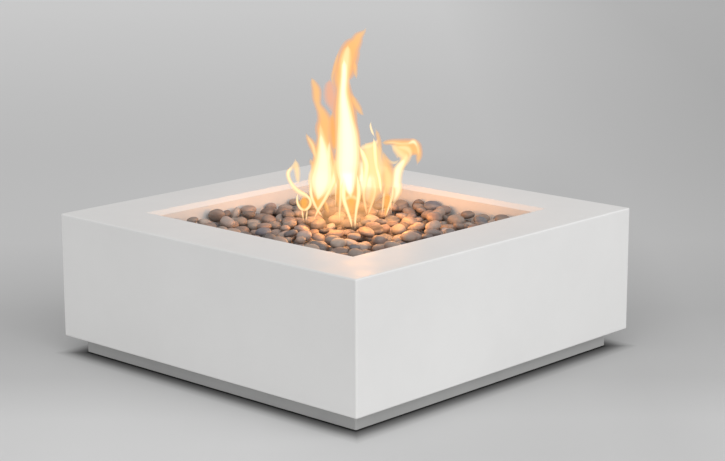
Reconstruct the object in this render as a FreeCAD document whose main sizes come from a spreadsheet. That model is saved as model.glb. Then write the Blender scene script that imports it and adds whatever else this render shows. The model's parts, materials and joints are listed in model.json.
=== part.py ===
"""Square concrete gas fire table: a cast shell on a recessed plinth, with a ring burner in a pebble bed.

Frame: +Z up, origin on the floor at the middle of the table. Front is -Y and left is -X, the two plain
sides. The right side (+X) carries the access door and the rear side (+Y) the controls. Lengths are in
millimetres and angles in degrees.
"""
import FreeCAD
import Part
import Sketcher
import math
import os
import random
import re

from FreeCAD import Placement, Rotation, Vector

# ---------------------------------------------------------------- driving sizes
SIZES = {
    # concrete shell
    "shell_side": 1067,
    "shell_height": 333,
    "rim_width": 160,
    "top_slab": 32,
    "side_wall": 25,
    "mouth_wall": 25,
    "mouth_depth": 150,
    "mouth_chamfer": 12,
    "corner_round": 5,
    "rim_round": 4,
    # plinth, feet and floor tray
    "plinth_height": 45,
    "plinth_inset": 42,
    "plinth_width": 90,
    "foot_height": 3,
    "foot_radius": 30,
    "tray_sheet": 2,
    "tray_lip": 20,
    "tray_lip_relief": 25,
    "tray_vent_radius": 14,
    "tray_vent_pitch": 120,
    # steel frame under the slab
    "post_tube": 40,
    "post_wall": 3,
    "post_plate": 90,
    "plate_thick": 4,
    "rail_tube": 30,
    "rail_wall": 2.5,
    "rail_end_plate": 70,
    "rail_bolt_reach": 27,
    "bearer_inset": 108.5,
    "bearer_gap": 30,
    "bearer_tab": 60,
    "bolt_radius": 4,
    "bolt_head": 13,
    "bolt_head_height": 5,
    "bolt_slack": 0.4,
    # burner pan and the bed in it
    "pan_gap": 3,
    "pan_sheet": 1.5,
    "pan_height": 55,
    "drain_radius": 5,
    "drain_circle": 260,
    "bed_gap": 0.6,
    "bed_edge": 50,
    "bed_crown": 12,
    "burner_room_radius": 214,
    "room_clearance": 4,
    # ring burner
    "outer_ring": 143,
    "inner_ring": 66,
    "ring_tube": 9.5,
    "spoke_tube": 6,
    "burner_wall": 1.5,
    "ring_rise": 16,
    "hub_radius": 19,
    "hub_height": 30,
    "hub_boss": 8,
    "port_radius": 1.2,
    "nipple_radius": 10.65,
    "nipple_wall": 3,
    "nipple_reach": 35,
    # gas train under the pan
    "thread_slack": 0.35,
    "lock_nut": 34,
    "lock_nut_height": 8,
    "mixer_radius": 15,
    "mixer_length": 60,
    "mixer_chamber": 9.5,
    "nipple_grip": 12,
    "window_width": 8,
    "window_height": 16,
    "window_rise": 21,
    "orifice_radius": 7,
    "orifice_bore": 1.1,
    "orifice_hex": 22,
    "orifice_hex_height": 8,
    "orifice_tail": 10,
    "jet_reach": 4,
    "burner_hose_radius": 6.5,
    "inlet_hose_radius": 6,
    "hose_nut": 20,
    "hose_nut_height": 14,
    "shield_sheet": 1.5,
    "shield_width": 640,
    "shield_edge": 20,
    "shield_hole": 30,
    "shield_slot_width": 60,
    "shield_slot_depth": 30,
    "hose_clearance": 3,
    "clip_place": 90,
    "clip_width": 24,
    "clip_length": 12,
    # control niche in the rear side
    "niche_place": -220,
    "niche_width": 300,
    "niche_height": 110,
    "niche_depth": 45,
    "controls_height": 145,
    "liner_sheet": 2,
    "liner_gap": 0.5,
    "liner_flange": 14,
    "panel_margin": 6,
    "panel_sheet": 2,
    "window_margin": 16,
    # gas valve and knob
    "knob_place": 5,
    "valve_width": 58,
    "valve_height": 46,
    "valve_port_spacing": 29,
    "lead_port_drop": 17,
    "lead_port_size": 10,
    "lead_port_length": 6,
    "valve_length": 56,
    "valve_neck_radius": 9,
    "valve_neck_length": 8,
    "valve_port_radius": 8,
    "valve_port_length": 12,
    "shaft_radius": 4,
    "shaft_flat": 1.2,
    "shaft_reach": 26,
    "shaft_hold": 16,
    "shaft_end_gap": 1,
    "knob_radius": 22,
    "knob_depth": 22,
    "knob_gap": 6,
    "knob_travel": 4,
    "knob_flute_radius": 2.2,
    "knob_skirt": 4,
    "knob_edge": 1.5,
    "pointer_width": 2,
    "pointer_depth": 1.2,
    "pointer_slack": 0.2,
    "running_fit": 0.06,
    # igniter
    "igniter_place": -80,
    "barrel_radius": 12,
    "barrel_length": 84,
    "barrel_bore": 8.4,
    "igniter_neck_radius": 10,
    "igniter_neck_length": 8,
    "igniter_nut": 28,
    "igniter_nut_height": 4,
    "button_radius": 7.5,
    "button_proud": 4.5,
    "button_travel": 3,
    "button_stem": 16,
    "button_edge": 1.5,
    "battery_radius": 7.2,
    "battery_length": 50.5,
    "battery_tip": 1.5,
    "battery_gap": 1,
    "barrel_floor": 3,
    # electrode and thermocouple beside the ring
    "bracket_place": 182,
    "bracket_width": 52,
    "bracket_sheet": 2,
    "bracket_height": 26,
    "bracket_foot": 18,
    "probe_spacing": 26,
    "insulator_radius": 4,
    "insulator_length": 34,
    "electrode_radius": 1.3,
    "electrode_tip": 8,
    "thermocouple_radius": 3,
    "thermocouple_length": 40,
    "probe_drop": 6,
    "wire_radius": 2.5,
    "wire_stub": 50,
    "wire_swing": 70,
    "wire_turn": 90,
    "wire_rise": 20,
    "lead_radius": 1.5,
    "lead_stub": 60,
    "lead_swing": 90,
    "lead_turn": 70,
    "lead_rise": 40,
    "lead_drift": 30,
    # gas inlet
    "inlet_place": 85,
    "inlet_body_radius": 8.4,
    "inlet_thread_radius": 7.94,
    "inlet_thread_length": 16,
    "inlet_shoulder": 24,
    "inlet_shoulder_height": 8,
    "inlet_nut_height": 6,
    "inlet_collar": 1,
    "inlet_tail_radius": 6,
    "inlet_tail_length": 14,
    "inlet_bore": 3.5,
    # access door in the right side
    "door_width": 300,
    "door_height": 120,
    "door_gap": 3,
    "door_thick": 14,
    "door_sheet": 2,
    "door_set_back": 2,
    "pivot_side": 9,
    "pivot_depth": 7,
    "pivot_radius": 2.5,
    "pivot_fit": 0.08,
    "pivot_block": 18,
    "pivot_hold": 10,
    "pull_inset": 40,
    "pull_width": 50,
    "pull_height": 24,
    "pull_depth": 10,
    "pull_sheet": 1.2,
    "pull_flange": 5,
    "magnet_reach": 28,
    "magnet_size": 12,
    "magnet_arm": 6,
    "magnet_gap": 0.5,
    "strike_thick": 1.5,
    "strike_size": 18,
    "louvre_width": 60,
    "louvre_inset": 31,
    "louvre_margin": 14,
    "louvre_height": 5,
    "louvre_pitch": 14,
    # vent grilles
    "grille_width": 150,
    "grille_height": 90,
    "grille_sheet": 2,
    "grille_margin": 15,
    "grille_slot": 8,
    "grille_pitch": 14,
    "rear_grille_inset": 313.5,
    "side_grille_inset": 203.5,
    # small screws
    "screw_radius": 2,
    "screw_head_radius": 4,
    "screw_head_height": 2,
    "screw_length": 14,
    "screw_slack": 0.4,
    "screw_inset": 7,
    # pebbles
    "pebble_long": 54,
    "pebble_short": 30,
    "pebble_gap": 1.4,
}
PEBBLE_COUNT = 600
STANDING_PEBBLES = 16
CORNER_PEBBLES = 20
PLACES_TRIED = 45
TRAY_VENTS = 6
DRAIN_HOLES = 8
OUTER_PORTS = 32
KNOB_FLUTES = 16
INNER_PORTS = 16
LOUVRES = 6

doc = FreeCAD.newDocument("FireTable")
sheet = doc.addObject("Spreadsheet::Sheet", "Sizes")
for row, (alias, value) in enumerate(SIZES.items(), start=1):
    sheet.set(f"A{row}", alias)
    sheet.set(f"B{row}", str(value))
    sheet.setAlias(f"B{row}", alias)
doc.recompute()

# places that many pieces share, as expressions of the driving sizes
HALF_SIDE = "(shell_side / 2)"
INNER_FACE = "(shell_side / 2 - side_wall)"
SHELL_BASE = "(foot_height + plinth_height)"
TABLE_TOP = "(foot_height + plinth_height + shell_height)"
SLAB_UNDER = f"({TABLE_TOP} - top_slab)"
MOUTH_HALF = "(shell_side / 2 - rim_width - mouth_chamfer)"
LINING_BASE = f"({TABLE_TOP} - mouth_depth)"
TRAY_TOP = f"({SHELL_BASE} + tray_sheet)"
PLINTH_HALF = "(shell_side / 2 - plinth_inset)"
POST_PLACE = f"({PLINTH_HALF} - post_plate / 2)"
RAIL_TOP = f"({LINING_BASE} - pan_gap)"
RAIL_MIDDLE = f"({RAIL_TOP} - rail_tube / 2)"
RAIL_INNER = f"({POST_PLACE} - rail_tube / 2)"
POST_INNER = f"({POST_PLACE} - post_tube / 2)"
PAN_HALF = f"({MOUTH_HALF} - pan_gap)"
PAN_FLOOR = f"({RAIL_TOP} + pan_sheet)"
BEARER_PLACE = f"max({PAN_HALF} - bearer_inset; bracket_place + bearer_gap + rail_tube / 2)"
BED_HALF = f"({PAN_HALF} - pan_sheet - bed_gap)"
RING_LEVEL = f"({PAN_FLOOR} + ring_rise)"
NIPPLE_END = f"({PAN_FLOOR} - nipple_reach)"
MIXER_TOP = f"({NIPPLE_END} + nipple_grip)"
MIXER_BASE = f"({MIXER_TOP} - mixer_length)"
ORIFICE_HEX_BASE = f"({MIXER_BASE} - orifice_hex_height)"
ORIFICE_END = f"({ORIFICE_HEX_BASE} - orifice_tail)"
SHIELD_TOP = f"({RAIL_TOP} - rail_tube)"
PANEL_BACK = f"({HALF_SIDE} - niche_depth)"
PANEL_FRONT = f"({PANEL_BACK} + panel_sheet)"
KNOB_X = "(niche_place + knob_place)"
IGNITER_X = "(niche_place + igniter_place)"
INLET_X = "(niche_place + inlet_place)"
VALVE_FRONT = f"({PANEL_BACK} - valve_neck_length)"
VALVE_BACK = f"({VALVE_FRONT} - valve_length)"
VALVE_INLET_X = f"({KNOB_X} + valve_port_spacing / 2)"
VALVE_OUTLET_X = f"({KNOB_X} - valve_port_spacing / 2)"
PROBE_BASE = f"({RAIL_TOP} - probe_drop)"
HOSE_LEVEL = f"({TRAY_TOP} + burner_hose_radius + hose_clearance)"
DOOR_FACE = f"({HALF_SIDE} - door_set_back)"
DOOR_HALF_WIDTH = "(door_width / 2 - liner_sheet - door_gap)"
DOOR_HALF_HEIGHT = "(door_height / 2 - liner_sheet - door_gap)"
PIVOT_X = f"({DOOR_FACE} - pivot_depth)"
PIVOT_Y = f"(pivot_side - {DOOR_HALF_WIDTH})"
PULL_PLACE = f"({DOOR_HALF_WIDTH} - pull_inset)"

UP = Vector(0, 0, 1)
TURNS = {
    "+z": Rotation(),
    "-z": Rotation(Vector(1, 0, 0), 180),
    "+x": Rotation(Vector(0, 1, 0), 90),
    "-x": Rotation(Vector(0, 1, 0), -90),
    "+y": Rotation(Vector(1, 0, 0), -90),
    "-y": Rotation(Vector(1, 0, 0), 90),
}
WORD = re.compile(r"[a-z_]+")
pieces = {}


# ---------------------------------------------------------------- shared building steps
def from_sheet(text):
    """An expression in which each size's name is read from the sheet."""
    return WORD.sub(lambda found: "Sizes." + found[0] if found[0] in SIZES else found[0], str(text))


def size(alias):
    """One driving size as a number, read from the sheet."""
    return float(sheet.get(alias))


def bind(thing, **expressions):
    """Bind properties of a document object to expressions; Base_x stands for Placement.Base.x."""
    for name, text in expressions.items():
        path = name.replace("Base_", "Placement.Base.").replace("Offset_", "AttachmentOffset.Base.")
        thing.setExpression(path, from_sheet(text))
    return thing


def keep(label, thing):
    """Make a document object one of the table's pieces, under the name of its file."""
    thing.Label = label
    pieces[label] = thing
    return thing


def put(thing, at, along="+z"):
    """Place a primitive with its own Z axis turned along an axis of the table."""
    thing.Placement = Placement(Vector(), TURNS[along])
    return bind(thing, Base_x=at[0], Base_y=at[1], Base_z=at[2])


def block(name, lengths, corner):
    """A box from its lowest corner."""
    made = doc.addObject("Part::Box", name)
    bind(made, Length=lengths[0], Width=lengths[1], Height=lengths[2])
    return put(made, corner)


def rod(name, radius, length, at, along="+z"):
    """A round bar that starts at a point and runs along an axis."""
    made = doc.addObject("Part::Cylinder", name)
    bind(made, Radius=radius, Height=length)
    return put(made, at, along)


def hexagon(name, across_flats, length, at, along="+z"):
    """A hexagonal bar that starts at a point and runs along an axis."""
    made = doc.addObject("Part::Prism", name)
    made.Polygon = 6
    bind(made, Circumradius=f"({across_flats}) / sqrt(3)", Height=length)
    return put(made, at, along)


def ring(name, radius, tube, level):
    """A torus about the burner's axis."""
    made = doc.addObject("Part::Torus", name)
    bind(made, Radius1=radius, Radius2=tube)
    return put(made, ("0", "0", level))


def fuse(name, shapes):
    made = doc.addObject("Part::MultiFuse", name)
    made.Shapes = shapes
    return made


def group(name, shapes):
    """Several separate solids in one object."""
    made = doc.addObject("Part::Compound", name)
    made.Links = shapes
    return made


def cut(name, base, tools):
    made = doc.addObject("Part::Cut", name)
    made.Base = base
    made.Tool = tools[0] if len(tools) == 1 else group(name + "_tools", tools)
    return made


def sketch(body, name, role, offset="0"):
    """An empty sketch on one of the body's own origin planes, moved along that plane's normal."""
    made = body.newObject("Sketcher::SketchObject", name)
    plane = next(item for item in body.Origin.OriginFeatures if item.Role == role)
    made.AttachmentSupport = [(plane, "")]
    made.MapMode = "FlatFace"
    return bind(made, Offset_z=offset)


def constrain(drawing, kind, *where, to=None):
    """Add a constraint and, for a dimension, bind it to an expression."""
    values = where if to is None else (*where, 1.0)
    index = drawing.addConstraint(Sketcher.Constraint(kind, *values))
    if to is not None:
        drawing.setExpression(f"Constraints[{index}]", from_sheet(to))


def rectangle(drawing, middle, lengths):
    """A rectangle about a middle point."""
    first = drawing.GeometryCount
    corners = [Vector(0, 0), Vector(9, 0), Vector(9, 9), Vector(0, 9)]
    for side in range(4):
        drawing.addGeometry(Part.LineSegment(corners[side], corners[(side + 1) % 4]), False)
    for side in range(4):
        constrain(drawing, "Coincident", first + side, 2, first + (side + 1) % 4, 1)
        constrain(drawing, "Vertical" if side % 2 else "Horizontal", first + side)
    constrain(drawing, "DistanceX", first, 1, first, 2, to=lengths[0])
    constrain(drawing, "DistanceY", first + 1, 1, first + 1, 2, to=lengths[1])
    constrain(drawing, "DistanceX", -1, 1, first, 1, to=f"({middle[0]}) - ({lengths[0]}) / 2")
    constrain(drawing, "DistanceY", -1, 1, first, 1, to=f"({middle[1]}) - ({lengths[1]}) / 2")


def circle(drawing, middle, radius):
    index = drawing.addGeometry(Part.Circle(Vector(1, 1), UP, 1), False)
    constrain(drawing, "Radius", index, to=radius)
    constrain(drawing, "DistanceX", -1, 1, index, 3, to=middle[0])
    constrain(drawing, "DistanceY", -1, 1, index, 3, to=middle[1])


def pad(body, drawing, length, reverse=False):
    made = body.newObject("PartDesign::Pad", drawing.Name + "_pad")
    made.Profile = drawing
    made.Reversed = reverse
    bind(made, Length=length)
    doc.recompute()
    return made


def pocket(body, drawing, length, reverse=False):
    """Cut a sketch into the body, against the sketch's normal unless reversed."""
    before = body.Shape.Volume
    made = body.newObject("PartDesign::Pocket", drawing.Name + "_pocket")
    made.Profile = drawing
    made.Reversed = reverse
    bind(made, Length=length)
    doc.recompute()
    if not body.Shape.Volume < before:
        raise RuntimeError(f"{made.Name} cuts nothing")
    return made


def pattern(body, feature, direction, pitch, count):
    """Repeat a feature in a row along one of its sketch's axes."""
    made = body.newObject("PartDesign::LinearPattern", feature.Name + "_row")
    made.Originals = [feature]
    made.Direction = (feature.Profile[0], [direction])
    made.Mode = "Spacing"
    made.Occurrences = count
    bind(made, Offset=pitch)
    body.Tip = made
    doc.recompute()
    return made


def soften(body, kind, amount, chosen):
    """Fillet or chamfer the edges of the body's tip that a test picks out."""
    base = body.Tip
    names = [f"Edge{n}" for n, edge in enumerate(base.Shape.Edges, start=1) if chosen(edge)]
    made = body.newObject(f"PartDesign::{kind}", f"{base.Name}_{kind}_{len(body.Group)}")
    made.Base = (base, names)
    bind(made, **{"Radius" if kind == "Fillet" else "Size": amount})
    doc.recompute()
    return made


def ends(edge):
    """The two ends of a straight edge."""
    return edge.Vertexes[0].Point, edge.Vertexes[-1].Point


def upright(edge):
    first, last = ends(edge)
    return len(edge.Vertexes) == 2 and math.hypot(first.x - last.x, first.y - last.y) < 0.001


def at_level(edge, level):
    return abs(edge.BoundBox.ZMin - level) < 0.001 and abs(edge.BoundBox.ZMax - level) < 0.001


def outermost(edge, half):
    """Whether an edge lies on the outline of a square of this half side."""
    middle = edge.CenterOfMass
    return abs(max(abs(middle.x), abs(middle.y)) - half) < 0.5


def screws(label, places, along):
    """Countersunk screws, heads flush with the face at each place, shanks running along an axis."""
    made = []
    for number, place in enumerate(places):
        head = doc.addObject("Part::Cone", f"{label}_head_{number}")
        bind(head, Radius1="screw_head_radius", Radius2="screw_radius", Height="screw_head_height")
        put(head, place, along)
        shank = rod(f"{label}_shank_{number}", "screw_radius", "screw_length", place, along)
        made.append(fuse(f"{label}_{number}", [head, shank]))
    return made


def screw_holes(label, places, along):
    """Countersunk holes for those screws, with slack all round."""
    made = []
    for number, place in enumerate(places):
        head = doc.addObject("Part::Cone", f"{label}_sink_{number}")
        bind(head, Radius1="screw_head_radius + screw_slack", Radius2="screw_radius + screw_slack",
             Height="screw_head_height + screw_slack / 2")
        put(head, place, along)
        hole = rod(f"{label}_hole_{number}", "screw_radius + screw_slack", "screw_length + screw_slack",
                   place, along)
        made.append(fuse(f"{label}_void_{number}", [head, hole]))
    return made


def corners_of(middle, lengths):
    """The four corners of a rectangle, as pairs of expressions."""
    return [(f"({middle[0]}) + {sx} * ({lengths[0]}) / 2", f"({middle[1]}) + {sy} * ({lengths[1]}) / 2")
            for sx in (-1, 1) for sy in (-1, 1)]


def rear_face(point, depth="0"):
    """A point on the rear side from its X and height."""
    return (point[0], f"{HALF_SIDE} - ({depth})", point[1])


def right_face(point, depth="0"):
    """A point on the right side from its Y and height."""
    return (f"{HALF_SIDE} - ({depth})", point[0], point[1])


# ---------------------------------------------------------------- openings that pieces share
NICHE_MIDDLE = ("niche_place", "controls_height")
REAR_GRILLE_MIDDLE = (f"{HALF_SIDE} - rear_grille_inset", "controls_height")
DOOR_MIDDLE = ("0", "controls_height")
SIDE_GRILLE_MIDDLES = [(f"{sy} * ({HALF_SIDE} - side_grille_inset)", "controls_height") for sy in (-1, 1)]
FLANGE_SCREWS = "2 * liner_flange - screw_inset * 2"
NICHE_SCREWS = corners_of(NICHE_MIDDLE,
                          (f"niche_width + {FLANGE_SCREWS}", f"niche_height + {FLANGE_SCREWS}"))
DOOR_SCREWS = corners_of(DOOR_MIDDLE,
                         (f"door_width + {FLANGE_SCREWS}", f"door_height + {FLANGE_SCREWS}"))
REBATE_MARGIN = "2 * (liner_flange + liner_gap)"
GRILLE_SCREW_BOX = ("grille_width - 2 * screw_inset", "grille_height - 2 * screw_inset")


# ---------------------------------------------------------------- shell and base
def concrete_shell():
    """The casting: four sides and a top slab, hollow underneath, with a lined square mouth."""
    body = doc.addObject("PartDesign::Body", "shell_casting")
    outline = sketch(body, "shell_outline", "XY_Plane", SHELL_BASE)
    rectangle(outline, ("0", "0"), ("shell_side", "shell_side"))
    pad(body, outline, "shell_height")
    half = size("shell_side") / 2
    top = size("foot_height") + size("plinth_height") + size("shell_height")
    bottom = size("foot_height") + size("plinth_height")
    soften(body, "Fillet", "corner_round", upright)
    soften(body, "Fillet", "rim_round",
           lambda edge: at_level(edge, top) or at_level(edge, bottom))
    mouth = sketch(body, "shell_mouth", "XY_Plane", TABLE_TOP)
    rectangle(mouth, ("0", "0"), (f"2 * {MOUTH_HALF}", f"2 * {MOUTH_HALF}"))
    pocket(body, mouth, "shell_height")
    mouth_half = half - size("rim_width") - size("mouth_chamfer")
    soften(body, "Chamfer", "mouth_chamfer",
           lambda edge: at_level(edge, top) and outermost(edge, mouth_half))
    lower = sketch(body, "shell_hollow", "XY_Plane", LINING_BASE)
    rectangle(lower, ("0", "0"), (f"2 * {INNER_FACE}", f"2 * {INNER_FACE}"))
    pocket(body, lower, "shell_height")
    upper = sketch(body, "shell_cavity", "XY_Plane", SLAB_UNDER)
    rectangle(upper, ("0", "0"), (f"2 * {INNER_FACE}", f"2 * {INNER_FACE}"))
    lining = f"2 * ({MOUTH_HALF} + mouth_wall)"
    rectangle(upper, ("0", "0"), (lining, lining))
    pocket(body, upper, "mouth_depth - top_slab")

    rear = sketch(body, "rear_openings", "XZ_Plane", f"-{HALF_SIDE}")
    rectangle(rear, NICHE_MIDDLE, ("niche_width", "niche_height"))
    rectangle(rear, REAR_GRILLE_MIDDLE,
              ("grille_width - 2 * grille_margin", "grille_height - 2 * grille_margin"))
    pocket(body, rear, "side_wall", reverse=True)
    rear_rebates = sketch(body, "rear_rebates", "XZ_Plane", f"-{HALF_SIDE}")
    rectangle(rear_rebates, NICHE_MIDDLE,
              (f"niche_width + {REBATE_MARGIN}", f"niche_height + {REBATE_MARGIN}"))
    rectangle(rear_rebates, REAR_GRILLE_MIDDLE,
              ("grille_width + 2 * liner_gap", "grille_height + 2 * liner_gap"))
    pocket(body, rear_rebates, "liner_sheet", reverse=True)

    right = sketch(body, "right_openings", "YZ_Plane", HALF_SIDE)
    rectangle(right, DOOR_MIDDLE, ("door_width", "door_height"))
    for middle in SIDE_GRILLE_MIDDLES:
        rectangle(right, middle, ("grille_width - 2 * grille_margin", "grille_height - 2 * grille_margin"))
    pocket(body, right, "side_wall")
    right_rebates = sketch(body, "right_rebates", "YZ_Plane", HALF_SIDE)
    rectangle(right_rebates, DOOR_MIDDLE,
              (f"door_width + {REBATE_MARGIN}", f"door_height + {REBATE_MARGIN}"))
    for middle in SIDE_GRILLE_MIDDLES:
        rectangle(right_rebates, middle, ("grille_width + 2 * liner_gap", "grille_height + 2 * liner_gap"))
    pocket(body, right_rebates, "liner_sheet")

    holes = screw_holes("shell_rear", [rear_face(place) for place in NICHE_SCREWS], "-y")
    holes += screw_holes("shell_vent", [rear_face(place) for place in
                                        corners_of(REAR_GRILLE_MIDDLE, GRILLE_SCREW_BOX)], "-y")
    holes += screw_holes("shell_door", [right_face(place) for place in DOOR_SCREWS], "-x")
    for number, middle in enumerate(SIDE_GRILLE_MIDDLES):
        holes += screw_holes(f"shell_side_vent_{number}",
                             [right_face(place) for place in corners_of(middle, GRILLE_SCREW_BOX)], "-x")
    for number, (along, place) in enumerate(tray_screw_places()):
        depth = "screw_length - tray_sheet + screw_slack"
        start = (place[0], place[1], place[2])
        holes.append(rod(f"shell_lip_hole_{number}", "screw_radius + screw_slack", depth, start, along))
    keep("concrete_shell", cut("shell_drilled", body, holes))


def tray_screw_places():
    """Where the tray's lip is screwed into the shell: direction and point on the shell's inner face."""
    level = f"{TRAY_TOP} + tray_lip / 2"
    spots = ["-shell_side / 4", "shell_side / 4"]
    made = [("-x", (f"-{INNER_FACE}", spot, level)) for spot in spots]
    made += [("+x", (INNER_FACE, spot, level)) for spot in ("-shell_side * 0.4", "shell_side * 0.4")]
    made += [("-y", (spot, f"-{INNER_FACE}", level)) for spot in spots]
    made += [("+y", (spot, INNER_FACE, level)) for spot in ("-shell_side * 0.4", "shell_side * 0.4")]
    return made


def plinth_ring():
    """The recessed base: one square ring, drilled for the frame's bolts."""
    body = doc.addObject("PartDesign::Body", "plinth_casting")
    outline = sketch(body, "plinth_outline", "XY_Plane", "foot_height")
    rectangle(outline, ("0", "0"), (f"2 * {PLINTH_HALF}", f"2 * {PLINTH_HALF}"))
    rectangle(outline, ("0", "0"),
              (f"2 * ({PLINTH_HALF} - plinth_width)", f"2 * ({PLINTH_HALF} - plinth_width)"))
    pad(body, outline, "plinth_height")
    soften(body, "Fillet", "rim_round",
           lambda edge: upright(edge) and math.hypot(edge.CenterOfMass.x, edge.CenterOfMass.y)
           > (size("shell_side") / 2 - size("plinth_inset")) * 1.3)
    holes = [rod(f"plinth_bolt_hole_{number}", "bolt_radius + bolt_slack", "plinth_height * 0.6",
                 (x, y, SHELL_BASE), "-z")
             for number, (x, y) in enumerate(post_bolt_places())]
    keep("plinth_ring", cut("plinth_drilled", body, holes))


def foot_pads():
    """Thin rubber discs under the plinth."""
    reach = f"({PLINTH_HALF} - plinth_width / 2)"
    spots = [(x, y) for x in (-1, 0, 1) for y in (-1, 0, 1) if x or y]
    pads = [rod(f"foot_pad_{number}", "foot_radius", "foot_height",
                (f"{x} * {reach}", f"{y} * {reach}", "0"))
            for number, (x, y) in enumerate(spots)]
    keep("foot_pads", group("foot_pad_set", pads))


def base_tray():
    """The steel floor, with vent holes and a lip that is screwed to the shell."""
    body = doc.addObject("PartDesign::Body", "tray_sheet_metal")
    floor = sketch(body, "tray_floor", "XY_Plane", SHELL_BASE)
    rectangle(floor, ("0", "0"), (f"2 * {INNER_FACE}", f"2 * ({INNER_FACE} - tray_lip_relief)"))
    pad(body, floor, "tray_sheet")
    wings = sketch(body, "tray_wings", "XY_Plane", SHELL_BASE)
    rectangle(wings, ("0", "0"), (f"2 * ({INNER_FACE} - tray_lip_relief)", f"2 * {INNER_FACE}"))
    pad(body, wings, "tray_sheet")
    lips = sketch(body, "tray_lips", "XY_Plane", TRAY_TOP)
    edge = f"({INNER_FACE} - tray_sheet / 2)"
    run = f"2 * ({INNER_FACE} - tray_lip_relief)"
    for side in (-1, 1):
        rectangle(lips, (f"{side} * {edge}", "0"), ("tray_sheet", run))
        rectangle(lips, ("0", f"{side} * {edge}"), (run, "tray_sheet"))
    pad(body, lips, "tray_lip")
    vents = sketch(body, "tray_vents", "XY_Plane", TRAY_TOP)
    start = f"-(tray_vent_pitch * {TRAY_VENTS - 1}) / 2"
    for line in range(TRAY_VENTS):
        circle(vents, (start, f"{start} + tray_vent_pitch * {line}"), "tray_vent_radius")
    first = pocket(body, vents, "tray_sheet")
    pattern(body, first, "H_Axis", "tray_vent_pitch", TRAY_VENTS)
    holes = [rod(f"tray_bolt_hole_{number}", "bolt_radius + bolt_slack", "2 * tray_sheet",
                 (x, y, f"{SHELL_BASE} - tray_sheet / 2"))
             for number, (x, y) in enumerate(post_bolt_places())]
    for number, (along, place) in enumerate(tray_screw_places()):
        back = {"+x": "-x", "-x": "+x", "+y": "-y", "-y": "+y"}[along]
        holes.append(rod(f"tray_lip_hole_{number}", "screw_radius + screw_slack", "2 * tray_sheet",
                         place, back))
    keep("base_tray", cut("tray_drilled", body, holes))


def tray_screws():
    """Pan-head screws through the tray's lip into the shell."""
    made = []
    back_of = {"+x": ("-1", "0"), "-x": ("1", "0"), "+y": ("0", "-1"), "-y": ("0", "1")}
    for number, (along, place) in enumerate(tray_screw_places()):
        step = back_of[along]
        seat = (f"({place[0]}) + {step[0]} * (tray_sheet + screw_head_height)",
                f"({place[1]}) + {step[1]} * (tray_sheet + screw_head_height)", place[2])
        head = rod(f"tray_screw_head_{number}", "screw_head_radius", "screw_head_height", seat, along)
        shank = rod(f"tray_screw_shank_{number}", "screw_radius", "screw_length + screw_head_height",
                    seat, along)
        made.append(fuse(f"tray_screw_{number}", [head, shank]))
    keep("tray_screws", group("tray_screw_set", made))


# ---------------------------------------------------------------- steel frame
def post_bolt_places():
    """Two bolts in each post's base plate, on its diagonal."""
    reach = "(post_plate / 2 - bolt_head)"
    return [(f"{sx} * ({POST_PLACE} {step} {reach})", f"{sy} * ({POST_PLACE} {back} {reach})")
            for sx in (-1, 1) for sy in (-1, 1) for step, back in (("+", "-"), ("-", "+"))]


def corner_post(label, side_x, side_y):
    """A square tube with a plate at each end, drilled for the side rail's bolts."""
    shift = (f"{side_x} * {POST_PLACE}", f"{side_y} * {POST_PLACE}")
    body = doc.addObject("PartDesign::Body", label + "_weldment")
    foot = sketch(body, label + "_foot", "XY_Plane", TRAY_TOP)
    rectangle(foot, shift, ("post_plate", "post_plate"))
    pad(body, foot, "plate_thick")
    tube = sketch(body, label + "_tube", "XY_Plane", f"{TRAY_TOP} + plate_thick")
    rectangle(tube, shift, ("post_tube", "post_tube"))
    rectangle(tube, shift, ("post_tube - 2 * post_wall", "post_tube - 2 * post_wall"))
    pad(body, tube, f"{SLAB_UNDER} - {TRAY_TOP} - 2 * plate_thick")
    head = sketch(body, label + "_head", "XY_Plane", f"{SLAB_UNDER} - plate_thick")
    rectangle(head, shift, ("post_plate", "post_plate"))
    pad(body, head, "plate_thick")
    holes = [rod(f"{label}_foot_hole_{number}", "bolt_radius + bolt_slack", "2 * plate_thick",
                 (x, y, f"{TRAY_TOP} - plate_thick / 2"))
             for number, (x, y) in enumerate(post_bolt_places())]
    for number, step in enumerate((-1, 1)):
        holes.append(rod(f"{label}_rail_hole_{number}", "bolt_radius + bolt_slack", "2 * post_wall",
                         (shift[0], f"{side_y} * ({POST_INNER} - post_wall / 2)",
                          f"{RAIL_MIDDLE} + {step} * rail_bolt_reach"),
                         "+y" if side_y > 0 else "-y"))
    keep(label, cut(label + "_drilled", body, holes))


def corner_posts():
    for front_rear, side_y in (("front", -1), ("rear", 1)):
        for left_right, side_x in (("left", -1), ("right", 1)):
            corner_post(f"corner_post_{front_rear}_{left_right}", side_x, side_y)


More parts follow.
